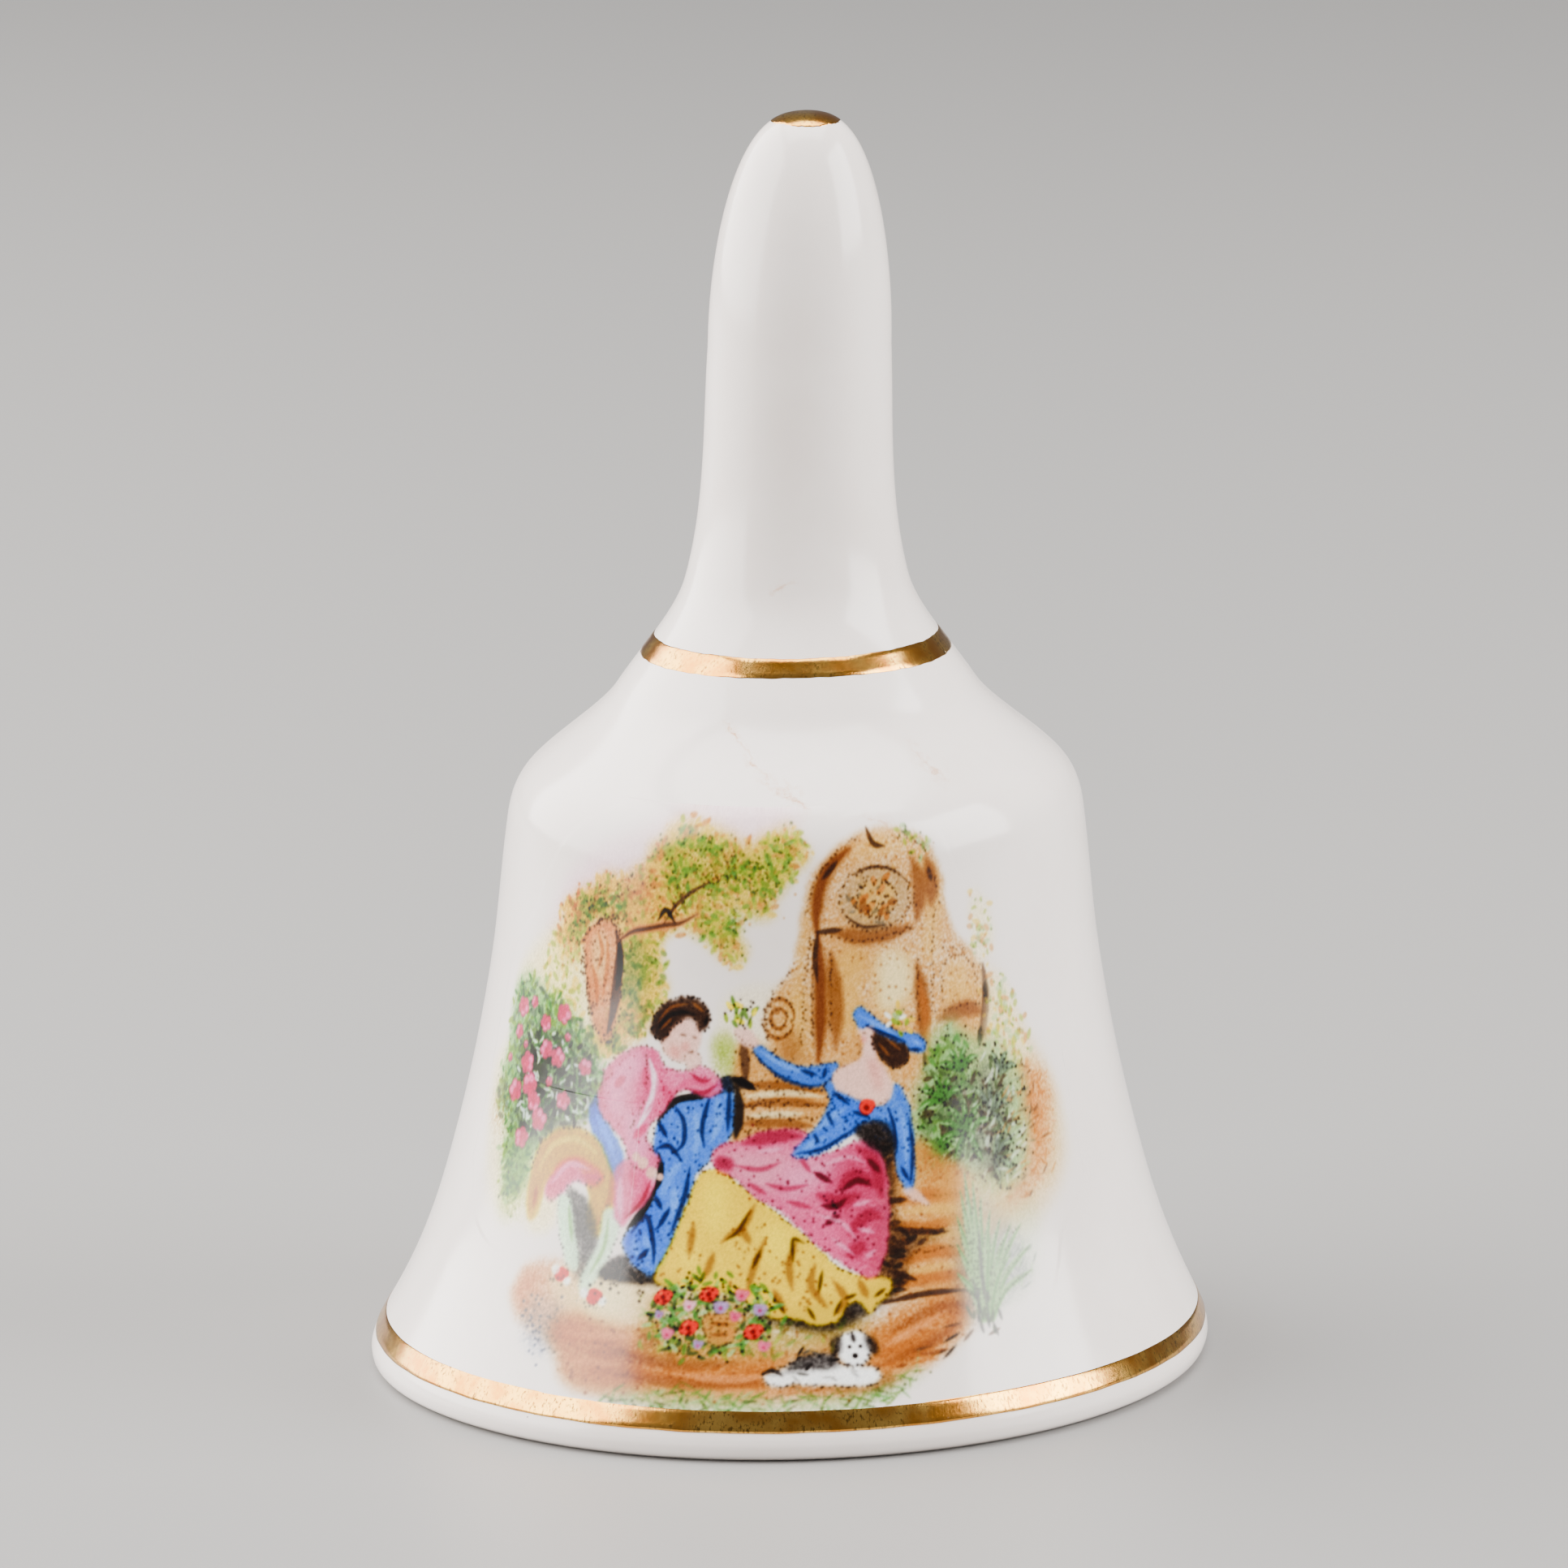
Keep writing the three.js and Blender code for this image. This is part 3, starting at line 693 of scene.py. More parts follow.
                c.line([base, mid, end], 0.50, Ink.moss, 0.5, (0.3, 0.15))
                c.line([base, mid, end], 0.38, ink, 0.85, (0.3, 0.15))
                c.line([mid, end], 0.16, Ink.pale_leaf, 0.8, (0.3, 0.3))
                c.dotted([base, (mid[0], mid[1] - 0.2), (end[0], end[1] - 0.12)], Ink.black, 4, 0.08, 0.06,
                    0.75)
        c.dabs([11, 14, 11.5, 21, 13.5, 21.5, 15, 18, 14, 14.4], (Ink.pale_leaf, Ink.white), 2.4, 0.8, 0.2,
            0.9, 0.5, 0.45)
        c.dabs([13, 15, 13.5, 20, 15.4, 20.4, 16.6, 17, 15, 14.6], (Ink.bark, Ink.grey_leaf, Ink.rust), 3,
            0.7, 0.13, 0.45, 0.35, 0.6)
        c.specks(mass, Ink.black, 4.5, 0.085, 0.75)

    def steps(self) -> None:
        """The stone steps between the two figures."""
        c = self.canvas
        c.wash([-5.4, 23.8, -4.6, 24.2, -3.7, 23.4, -3.9, 21.8, -5.2, 22], Ink.lime, 0.3, 0.7, 0.6)
        whole = [-4, 22.6, -3.2, 24, -2, 23.4, 0, 21.6, 2, 21.3, 2.2, 20, 1.4, 19, 0, 18.3, -2.5, 18.2,
            -4, 18]
        step = c.wash(whole, Ink.stone, 0.2, 0.95, 0.4)
        self.strokes([[-3.6, 20, -1, 20.3, 1.8, 20], [-3.4, 19, -1, 19.1, 1, 18.8], [-3.2, 21.3,
            -1.2, 21.2, 1.4, 20.9]], 0.55, Ink.stone_shade, 0.7, step, 0.2)
        self.strokes([[-3.2, 20.6, -0.5, 20.8, 1.6, 20.5], [-3, 19.5, 0.4, 19.6]], 0.4, Ink.cream, 0.7,
            step, 0.15)
        self.strokes([[-3.5, 24, -3.3, 22.8, -3.2, 21.4]], 0.6, Ink.bark, 0.8, None, 0.2)
        self.strokes([[-4, 21.6, -3.2, 21.3, -2.6, 21.0]], 0.45, Ink.black, 0.9)
        self.strokes([[-3.7, 21, -3.6, 19.6, -3.7, 18.2]], 0.7, Ink.black, 0.8, None, 0.2)
        for v in (18.6, 19.3, 20.1, 20.9):
            c.dotted([(-3.4, v), (-1, v + 0.1), (1.6, v - 0.1)], Ink.sepia, 4.5, 0.08, 0.07)
        c.specks(whole, Ink.sepia, 2.6, 0.08, 0.7)

    def ground(self) -> None:
        """The earth, path and turf below the figures."""
        c = self.canvas
        c.wash([-16.8, 8, -16.2, 9.6, -14.6, 10.1, -12, 10.2, -8, 9.6, -7, 7.4, -10, 5.8, -14, 6,
            -16.2, 7], Ink.peach, 0.35, 0.95, 0.5, 0.3)
        c.wash([-14.6, 9.2, -12, 9.9, -9, 9.4, -9.6, 7.8, -12.4, 7.2], Ink.cream, 0.4, 0.8, 0.4)
        blue_shade = [-15.4, 7.8, -14, 8, -12.8, 7.4, -12.8, 5.4, -14.2, 4.9, -15.4, 6]
        c.wash(blue_shade, (0.68, 0.70, 0.76), 0.4, 0.55, 0.9)
        c.specks(blue_shade, (0.42, 0.44, 0.52), 9, 0.075, 0.65)
        earth = [-13.6, 6.8, -11, 7.6, -8, 7.4, -5, 6.6, 0, 6.4, 4, 7.6, 8, 9.4, 9.8, 9.6, 9.9, 8, 9, 6.6,
            7.6, 5.6, 6.2, 4.9, 4.6, 4.2, 2, 3.5, -3, 3.4, -8, 3.4, -11, 3.6, -12.4, 4.6]
        soil = c.wash(earth, Ink.rust, 0.35, 0.92, 0.4, 0.35)
        for patch in ([-10, 6.6, -6, 6, -1, 5.6, -1.6, 4, -8, 4, -10.4, 4.8], [3, 6.4, 7, 8.6, 9.8, 9,
            9.3, 7, 7, 5.6, 5, 4.9]):
            c.wash(patch, Ink.earth, 0.5, 0.9, 0.5, 0.3)
        self.strokes([[-9.5, 5.8, -6, 5.4, -3, 5.6], [-9, 4.6, -5, 4.4, -1, 4.6], [5, 7, 7.5, 8, 9.6, 8],
            [4.6, 5.4, 6.6, 6, 8.6, 7]], 0.6, Ink.dark_earth, 0.42, soil, 0.3)
        self.strokes([[-12.6, 6.4, -9, 6.6, -6, 6.4], [-12, 5, -9, 5.1], [-6, 3.9, -1, 4, 3.6, 4.4],
            [4.4, 6.2, 6, 6.9, 8, 7.8], [-6, 4.9, -3, 4.7, -1, 5]], 0.45, Ink.peach, 0.65, soil, 0.2)
        turf = [-8.2, 6.2, -8, 9, -6, 10, -2, 9.8, 1, 8.4, 4, 8, 2.6, 6.6, -2, 6, -6, 5.8]
        c.wash(turf, (0.70, 0.60, 0.26), 0.4, 0.9, 0.5, 0.3)
        c.dabs(turf, (Ink.leaf, Ink.lime, Ink.stone_shade), 3, 0.5, 0.2, 1.2, 0.8, 0.5)
        c.wash([-12, 9.9, -8, 9.9, -7.8, 9, -8.4, 7.3, -11.4, 7.5], Ink.cream, 0.3, 0.85, 0.3)
        edge = [-9.6, 3.1, -7, 3.9, -3, 3.8, 1, 3.7, 4, 4.2, 6.6, 4.9, 5.4, 3.8, 3, 3.0, -4, 2.9]
        c.wash(edge, Ink.pale_leaf, 0.3, 0.75, 0.7, 0.3)
        c.dabs(edge, (Ink.fern, Ink.moss, Ink.pale_leaf, Ink.leaf), 5.5, 1.0, 0.14, 0.5, 0.5, 0.7)
        c.dabs(edge, (Ink.fern, Ink.leaf), 3.5, 0.9, 0.12, 2.5, 0.4, 0.6)
        c.specks(edge, Ink.moss, 4, 0.07, 0.7)
        c.specks(earth, Ink.dark_earth, 2.2, 0.075, 0.6)
        shadow = [7.6, 7.4, 9.4, 7.2, 10.6, 6.4, 9, 5.9, 7, 5.4]
        c.dabs(shadow, (Ink.black, Ink.bark), 3.4, 0.9, 0.18, 0.35, 0.3, 0.75)
        c.dabs([3.8, 5.2, 7, 6, 7.4, 5, 5, 4.4], (Ink.dark_earth, Ink.earth), 3, 0.9, 0.18, 0.2, 0.2, 0.7)

    def bench(self) -> None:
        """The bank of earth the lady leans on."""
        c = self.canvas
        whole = [5.2, 17.4, 7.4, 17.8, 9, 16.4, 10.4, 15.6, 10.8, 13, 10.2, 10.6, 9.6, 9, 7, 8.8, 5, 8.6,
            4, 9.2, 4.4, 12, 4.8, 15]
        bank = c.wash(whole, Ink.stone, 0.3, 0.96, 0.4, 0.2)
        c.wash([7.2, 17, 9, 16.4, 10.2, 15.4, 9.8, 13.8, 7.6, 14.2], Ink.rust, 0.4, 0.6, 0.7, 0.2, bank)
        self.strokes([[5.4, 14.2, 7.6, 14.4, 10.4, 14.0], [5.2, 12.9, 7.4, 12.6, 9.6, 12.9], [5.6, 10.6,
            7.6, 11.2, 9.8, 10.8], [5, 9.4, 7.4, 9.8, 9.8, 9.6]], 0.75, Ink.earth, 0.75, bank, 0.3)
        self.strokes([[6, 13.6, 8, 13.6, 10, 13.3], [6.4, 11.9, 8.4, 12.1, 10, 11.8], [6.2, 10.2,
            9.2, 10.3]], 0.45, Ink.sand, 0.7, bank, 0.2)
        dark = [4.4, 18.2, 5.4, 17.6, 5.9, 15.6, 5.7, 13.2, 6.6, 12.5, 8.4, 12.1, 7, 11.6, 6.2, 10.8,
            5.8, 9.4, 4.4, 8.8, 4.4, 11.4, 4.8, 14]
        c.wash(dark, Ink.sepia, 0.25, 0.85, 0.5, 0.15)
        c.dabs(dark, (Ink.black, Ink.sepia), 3, 0.8, 0.3, 0.1, 0.4, 0.6)
        self.strokes([[5.4, 12.7, 7, 12.4, 8.8, 12.2], [5, 10.4, 6.6, 9.7], [5.2, 14.3, 6.4, 14.3],
            [4.6, 8.6, 7, 8.9, 9.4, 8.8]], 0.35, Ink.sepia, 0.8, None, 0.12)
        for path in ([6.4, 14.4, 8.4, 14.3, 10.3, 14.2], [5.8, 12.6, 8.8, 12.2], [6, 11.2, 9.8, 11.4]):
            c.dotted(path, Ink.sepia, 4.5, 0.08, 0.07)
        c.specks(whole, Ink.dark_earth, 2.2, 0.08, 0.6)

    def grass(self) -> None:
        """The clump of tall grass."""
        c = self.canvas
        shadow = [9.2, 13, 11, 14, 13, 11.6, 13.4, 9, 11.6, 8, 10.4, 6.9, 9.2, 8]
        c.wash(shadow, (0.60, 0.60, 0.60), 0.45, 0.75, 0.6, 0.3)
        c.wash([8.4, 15, 11, 15.4, 13.4, 13.6, 12, 11.6, 9, 11], Ink.sand, 0.5, 0.6, 0.5, 0.3)
        tips = ((9.2, 11.4), (9.4, 13), (9.8, 14.4), (10.2, 15.4), (10.7, 14.8), (11.1, 13.8), (11.6, 13),
            (12.2, 12.4), (12.9, 12.0), (13.6, 11.9), (14, 10.6), (13.8, 9.2), (9.0, 9.8), (12.6, 10.4),
            (11.4, 11.6))
        for u, v in tips:
            base = (10.3 + 0.12 * (u - 10.3), 7.0)
            mid = (10.3 + 0.42 * (u - 10.3), (7 + v) / 2 + 0.3)
            c.line([base, mid, (u, v)], 0.40, Ink.pale_leaf, 0.85, (0.8, 0.1))
            c.line([base, (mid[0] + 0.12, mid[1]), (u, v)], 0.15, Ink.fern, 0.6, (0.8, 0.2))
            c.dotted([base, (mid[0] - 0.2, mid[1] - 0.1), (u, v)], Ink.moss, 3.6, 0.07, 0.05, 0.75)
        c.dabs([9.6, 8.4, 10.9, 8.4, 11, 6.7, 9.9, 6.6], (Ink.moss, Ink.shade), 6, 0.7, 0.18, 1.5, 0.3,
            0.7)
        self.strokes([[10.5, 7.2, 10.5, 9.5, 10.7, 12], [10.1, 7.2, 9.9, 9.4]], 0.2, Ink.shade, 0.7)
        c.dabs([12.4, 9.2, 13.4, 11.4, 14.4, 10, 13.4, 8.4], (Ink.pale_leaf, Ink.grey_leaf), 3, 0.8, 0.12,
            0.7, 0.3, 0.6)

    def gentleman(self) -> None:
        """The seated gentleman in pink with a blue cloak."""
        c = self.canvas
        self.drape()
        stocking = [-14.9, 13.8, -14, 13.7, -13.3, 12, -12.6, 10.2, -13.2, 9.8, -13.9, 10.8, -14.7, 12.4]
        second = [-11.6, 13.6, -10.4, 13.2, -10.6, 11.4, -11.2, 9.6, -12.2, 8.8, -12.3, 9.8, -11.7, 11.4]
        c.wash([-14.4, 14.3, -12.9, 13.9, -12.0, 12.6, -11.6, 10.6, -12.5, 9.4, -13.3, 10.8, -14, 13],
            Ink.shade, 0.15, 0.85, 0.6)
        for leg in (stocking, second):
            c.wash(leg, (0.87, 0.91, 0.83), 0.1, 0.98, 0.1)
            c.dotted(leg, Ink.shade, 3.2, 0.07, 0.05, 0.6, True)
        self.strokes([[-11.2, 13, -11.2, 11.4, -11.8, 9.8], [-14.1, 13.4, -13.4, 11.4]], 0.25,
            Ink.pale_leaf, 0.8)
        waist = [-13.6, 19, -13.2, 19.9, -12.4, 18.6, -11.3, 17.5, -10.7, 16.4, -10.8, 15.1, -11.5, 15.8,
            -12.3, 17, -13.3, 17.9]
        c.wash(waist, Ink.blue, 0.1, 0.92, 0.3)
        self.strokes([[-13.1, 18.8, -12.2, 17.8, -11.4, 16.6]], 0.4, Ink.pale_blue, 0.7)
        cloak = [-5, 21.4, -4.1, 21.6, -3.9, 20.4, -3.9, 18.6, -4.3, 17.9, -5, 17.4, -5.3, 16.8, -6, 16,
            -6.2, 15, -6.8, 13, -7.6, 10.2, -8.6, 10.2, -9.6, 10.9, -10.1, 12, -9.2, 13.3, -8.5, 14.6,
            -8.2, 16, -8.8, 17.2, -8.8, 18.4, -8, 19.6, -6.8, 20.4, -5.8, 20.4]
        cloth = c.wash(cloak, Ink.blue, 0.08, 0.98, 0.2)
        self.strokes([[-6.4, 19.8, -6, 18.4, -6.2, 17], [-5, 20.6, -4.8, 19, -5.2, 17.9], [-8, 14.6,
            -7.6, 15.8, -7, 16.6], [-8.8, 12.4, -8.2, 11.2], [-7.2, 15.2, -7.2, 13.6], [-9.4, 12,
            -9, 11.2]], 0.5, Ink.pale_blue, 0.55, cloth, 0.2)
        self.strokes([[-7.6, 19.8, -7, 19, -6.9, 17.8, -7.4, 17.2], [-8.6, 17.3, -7.8, 17.5, -7, 16.8],
            [-6.4, 16.4, -6.6, 14.6, -7.2, 12.6], [-9.6, 12.4, -8.8, 13.4, -8.2, 12, -8, 10.8],
            [-5.4, 20.6, -5.8, 18.8, -5.6, 17.6], [-8.6, 18.8, -8, 18], [-4.2, 21, -4.2, 18.6], [-9, 10.9,
            -8.4, 11.6], [-7.4, 14, -8, 12.8], [-8.4, 14.6, -7.9, 13.9]], 0.30, Ink.navy, 0.72, cloth,
            0.12)
        self.strokes([[-8.7, 18.9, -7.7, 20.1, -6.2, 20.5, -4.6, 20.8], [-8.4, 15.2, -9, 13.8, -9.9, 12.6],
            [-8.4, 17, -8.2, 15.8, -8.5, 14.8]], 0.42, Ink.black, 0.85, None, 0.12)
        c.wash([-4.9, 21.5, -3.9, 21.8, -2.7, 21.2, -3.6, 21.0, -4.4, 20.8], Ink.black, 0.08, 0.75, 0.2)
        c.specks(cloak, Ink.navy, 3, 0.08, 0.7)
        c.dotted(cloak, Ink.black, 4.5, 0.075, 0.06, 0.8, True)
        breeches = [-11.2, 16, -10.2, 16.5, -9, 16, -8.5, 15.2, -8.8, 14.3, -9.6, 13.5, -10.3, 12.7,
            -10.9, 13.4, -11.2, 14.8]
        trews = c.wash(breeches, Ink.pink, 0.1, 0.97, 0.3)
        self.strokes([[-9.2, 15.6, -9, 14.8, -9.8, 13.8], [-10.2, 15.9, -9.7, 15]], 0.5, Ink.rose, 0.75,
            trews, 0.2)
        self.strokes([[-10.8, 15.4, -10.6, 14, -10.4, 13]], 0.4, Ink.pale_pink, 0.9, trews, 0.2)
        self.strokes([[-8.8, 15.4, -9.2, 14.2, -10.1, 13.2]], 0.25, Ink.crimson, 0.7, None, 0.1)
        coat = [-12.8, 21.4, -11.9, 22.4, -10.2, 23.1, -9.1, 22.9, -8.5, 22.1, -7.2, 21.9, -6.4, 22.3,
            -5.6, 22.1, -4.8, 21.5, -4.7, 20.9, -5.6, 20.4, -6.8, 20.8, -7.7, 20.5, -8.3, 19.4, -9, 18.8,
            -9.4, 18, -8.9, 17.2, -8.3, 16.6, -8.9, 15.9, -10.2, 16.3, -10.8, 17.4, -11.8, 18.2,
            -12.8, 18.9, -13.2, 19.8, -13, 20.6]
        jacket = c.wash(coat, Ink.pink, 0.08, 0.98, 0.25)
        c.wash([-12.6, 21, -11.6, 22.3, -10.2, 22.8, -9.8, 21.8, -11, 20.4, -11, 18.8, -12.4, 19.2],
            Ink.pale_pink, 0.35, 0.7, 0.2, 0.1, jacket)
        c.wash([-11, 19, -10, 19.4, -9, 18.2, -9.2, 16.6, -10.4, 16.8], Ink.pale_pink, 0.3, 0.8, 0.2, 0.1,
            jacket)
        self.strokes([[-7.6, 20.8, -6.6, 21.3, -5.2, 21.2], [-8.4, 19.9, -7.6, 20.8], [-10.2, 17.8,
            -9.4, 18.6], [-8.5, 21, -8.1, 20.2], [-11.9, 20.6, -11.3, 21.2], [-9.9, 21.8, -9.6, 20.6]],
            0.5, Ink.rose, 0.85, jacket, 0.18)
        self.strokes([[-7, 20.9, -5.9, 20.7, -5, 21.2], [-6.8, 21.8, -6, 21.4, -5.4, 21.5], [-8.2, 19.8,
            -7.6, 20.5, -6.9, 20.8], [-9.2, 18.1, -8.7, 17.2]], 0.26, Ink.crimson, 0.75, jacket, 0.12)
        self.strokes([[-9.6, 22.4, -9.1, 21, -9.4, 19.6, -10, 18.4]], 0.45, Ink.white, 0.75, jacket, 0.15)
        self.strokes([[-9, 21.4, -9.0, 20.2, -9.6, 19.2]], 0.2, Ink.rose, 0.5, jacket)
        c.dotted([-9.9, 22.6, -9.6, 21, -9.9, 19.6, -10.6, 18.2], Ink.bark, 4.5, 0.07, 0.05)
        c.dotted([-8.8, 21.6, -8.5, 20.2, -9.2, 18.8], Ink.crimson, 4.5, 0.07, 0.06)
        c.dotted(coat, Ink.sepia, 3.6, 0.07, 0.06, 0.7, True)
        c.specks(coat, Ink.crimson, 1.5, 0.07, 0.6)
        c.discs([-9.4, 16.4, -8.8, 15.9, -9.9, 16.7, -8.2, 15.7], [.36, .34, .28, .22], Ink.skin, 0.95,
            0.12)
        self.head()
        for u, v, r in ((-13.7, 9.5, 0.38), (-11.3, 8.6, 0.42)):
            c.discs([(u, v), (u + 0.25, v + 0.05)], [r, r * 0.7], Ink.red, 0.95, 0.1)
            c.dotted([(u - r, v), (u, v - r), (u + r, v)], Ink.maroon, 4, 0.07, 0.06)
        c.discs([-14.1, 9.7, -13.2, 9.2, -11.9, 8.7, -10.7, 8.4], [.3, .26, .3, .26], Ink.white, 0.8, 0.15)
        c.dotted([-14.6, 9.4, -13.4, 8.9, -12.6, 9.4], Ink.shade, 4, 0.07, 0.08)
        c.dotted([-12.2, 8.2, -11.2, 7.9, -10.4, 8.4], Ink.shade, 4, 0.07, 0.08)
        dark = [-11.1, 9.7, -10.6, 10.7, -9.8, 11.1, -9.2, 10.4, -8.4, 10.2, -7.6, 10.1, -6.4, 9.9,
            -8.4, 9.6]
        c.wash(dark, Ink.black, 0.12, 0.88, 0.3)
        c.specks([-11.4, 10.2, -8, 10.2, -8.6, 9, -11.2, 9], Ink.black, 6, 0.08, 0.7)

    def drape(self) -> None:
        """The yellow cloth lined with pink that hangs in an arc behind the gentleman."""
        c = self.canvas
        arc_outline = [-17.6, 14.9, -17.3, 16.4, -15.9, 17.5, -14.2, 17.8, -12.8, 17.4, -11.6, 16.2,
            -11, 14.6, -11.2, 12.9, -11.8, 11.9, -12.6, 12.8, -12.8, 14.4, -13.8, 15.6, -15.2, 15.4,
            -16.2, 14.3, -16.4, 12.6, -17, 12.1, -17.5, 13.2]
        stencil = c.wash(arc_outline, (0.86, 0.73, 0.08), 0.12, 0.97, 0.2)
        self.strokes([[-17, 15, -16.2, 16.5, -14.4, 17.2, -12.6, 16.6]], 0.4, Ink.cream, 0.5, stencil, 0.2)
        self.strokes([[-11.5, 15.8, -11.3, 14.2, -11.9, 12.6], [-16.9, 14, -16.8, 12.8]], 0.35, Ink.rust,
            0.6, stencil, 0.15)
        lining = [-16.1, 14.2, -15.4, 15.6, -14.2, 16.2, -12.8, 15.9, -11.9, 15.3, -12.6, 14.7,
            -13.9, 14.8, -14.8, 14, -15.4, 13.4, -16, 13.6]
        lined = c.wash(lining, Ink.pink, 0.12, 0.95, 0.3)
        self.strokes([[-15.7, 14.4, -14.6, 15.7, -13, 15.6]], 0.35, Ink.pale_pink, 0.8, lined)
        self.strokes([[-13.4, 15.2, -12.2, 15.2]], 0.35, Ink.rose, 0.75, lined)
        c.dotted(arc_outline[:16], Ink.bark, 3.4, 0.07, 0.06, 0.7)
        c.dotted(lining[8:], Ink.shade, 4, 0.07, 0.06, 0.7)
        c.wash([-16.2, 13.4, -15, 13.6, -14.9, 12, -16, 11.4, -17, 11.8], Ink.cream, 0.3, 0.6, 0.3)

    def head(self) -> None:
        """The gentleman's head, turned down and to one side, and the hand at the chin."""
        c = self.canvas
        face = [-8.5, 24.6, -7.6, 25, -6.5, 24.7, -6.2, 23.8, -6.5, 22.9, -7.2, 22.4, -8, 22.5, -8.8, 23,
            -8.9, 23.8]
        c.wash(face, Ink.skin, 0.1, 1.0, 0.05)
        c.wash([-8.4, 23, -7.8, 23.4, -7.4, 22.7, -8, 22.5], Ink.blush, 0.15, 0.45)
        c.discs([-7.2, 23.3], [0.3], Ink.blush, 0.4, 0.3)
        hand = [-7.2, 22.8, -6.5, 23.1, -6.1, 22.6, -6.4, 22.1, -7, 22]
        c.wash(hand, Ink.skin, 0.08, 1.0)
        c.dotted(hand, Ink.bark, 4, 0.06, 0.03, 0.7, True)
        hair = [-9.6, 24, -9.4, 25, -8.8, 25.7, -8, 26.1, -7, 26.2, -6.1, 25.9, -5.6, 25.2, -5.7, 24.6,
            -6.3, 24.3, -6.6, 24.8, -7.1, 25.0, -7.8, 24.7, -8.3, 24.3, -8.7, 23.7, -9.2, 23.6]
        locks = c.wash(hair, Ink.hair, 0.09, 0.97, 0.2, 0.14)
        self.strokes([[-9.2, 24.6, -8.4, 25.5, -7.2, 25.8], [-6.9, 25.9, -6.1, 25.4], [-9, 24.2,
            -8.2, 25]], 0.2, Ink.rust, 0.55, locks)
        self.strokes([[-9.3, 24, -8.6, 24.9, -7.6, 25.3, -6.6, 25.2], [-6, 24.6, -5.8, 25.2]], 0.24,
            Ink.black, 0.7, locks)
        c.dotted(hair, Ink.black, 4.5, 0.085, 0.08, 0.85, True)
        self.strokes([[-7.6, 24.0, -7.2, 23.95], [-6.75, 23.9, -6.5, 23.85], [-6.95, 23.0, -6.65, 23.02]],
            0.11, Ink.bark, 0.75)
        c.dotted([-8.9, 23.4, -8.3, 22.6, -7.3, 22.3], Ink.bark, 4.5, 0.06, 0.03, 0.7)

    def lady(self) -> None:
        """The reclining lady in blue, pink and yellow, with her hat and posy."""
        c = self.canvas
        self.skirts()
        sleeve = [2.2, 20.5, 1.6, 19.4, 0.8, 18.4, 0, 17.7, -0.3, 17.2, 0.5, 17.1, 1.6, 17.4, 2.8, 18,
            3.8, 18.6, 4.2, 19.2, 3.4, 20.2]
        bodice = [1.7, 21, 2.4, 21.4, 3.4, 20.6, 4.4, 19.9, 5.4, 19.9, 6, 21, 6.6, 20.6, 7, 19.4, 7.1, 18,
            7.1, 16.4, 6.9, 15, 6.4, 14.8, 5.9, 16.2, 5.7, 17.8, 5, 18.8, 4, 18.9, 3, 19]
        raised = [-2.6, 23.6, -1.9, 23.3, -0.9, 22.7, 0.4, 22.3, 1.6, 22.4, 2.6, 22.4, 2.2, 21.6,
            1.2, 21.1, 0.2, 21.2, -0.9, 21.6, -1.9, 22.3, -2.8, 23.2]
        parts = [c.wash(outline, Ink.blue, 0.08, 0.99, 0.15) for outline in (bodice, sleeve, raised)]
        c.wash([3.4, 18.5, 4.4, 19, 5.4, 18.8, 5.9, 18, 5.8, 17, 4.9, 17.1, 4, 17.8], Ink.black, 0.12, 0.9,
            0.2)
        c.dotted([4.6, 18.2, 5.6, 17.6], Ink.navy, 4, 0.08, 0.1)
        self.strokes([[1.2, 18.6, 2.2, 19.4, 3, 19.8], [0.4, 17.6, 1.6, 18.2]], 0.4, Ink.pale_blue, 0.55,
            parts[1])
        self.strokes([[-2.3, 23.2, -0.8, 22.4, 0.8, 21.9]], 0.32, Ink.pale_blue, 0.6, parts[2])
        self.strokes([[6.4, 19.6, 6.6, 18, 6.5, 16.2]], 0.3, Ink.pale_blue, 0.55, parts[0])
        self.strokes([[-2.6, 23, -1.8, 22.2, -0.8, 21.6, 0.4, 21.2, 1.4, 21.2], [0.2, 22.1, 1.2, 21.8],
            [1.8, 22.2, 1.6, 21.6]], 0.24, Ink.navy, 0.75, parts[2])
        self.strokes([[5.6, 19.6, 5.9, 18.6, 6, 17], [6.9, 19, 7, 17, 6.7, 15.2], [2.2, 20.8, 3.2, 20],
            [3.4, 19.6, 4.4, 19.2], [6.2, 16.2, 6.6, 15.4]], 0.24, Ink.navy, 0.75, parts[0])
        self.strokes([[0, 17.3, 1.4, 17.5, 2.8, 18.2, 3.8, 18.8], [1.8, 19.6, 2.2, 18.8], [1, 18.4,
            1.3, 17.9]], 0.22, Ink.navy, 0.7, parts[1])
        for outline in (bodice, sleeve, raised):
            c.dotted(outline, Ink.navy, 4.5, 0.075, 0.05, 0.85, True)
            c.specks(outline, Ink.navy, 3, 0.075, 0.65)
        bust = [2.2, 21.8, 3, 22.3, 3.9, 22.6, 4.2, 23.4, 3.9, 24.3, 4.3, 24.9, 5, 24.6, 5.2, 23.4,
            5.1, 22.6, 5.6, 21.9, 5.9, 21, 5.9, 20.3, 5.2, 19.8, 4.4, 20, 3.4, 20.4, 2.3, 21]
        c.wash(bust, Ink.skin, 0.08, 1.0, 0.05)
        c.wash([4.4, 22.4, 5, 22.6, 5.4, 21.6, 5.2, 20.6, 4.6, 21.2], Ink.blush, 0.2, 0.35)
        c.discs([4.25, 23.7], [0.2], Ink.blush, 0.45, 0.2)
        c.dotted([2.2, 21.8, 3.2, 22.4, 3.9, 22.7, 3.85, 24.1], Ink.bark, 4.5, 0.06, 0.03, 0.75)
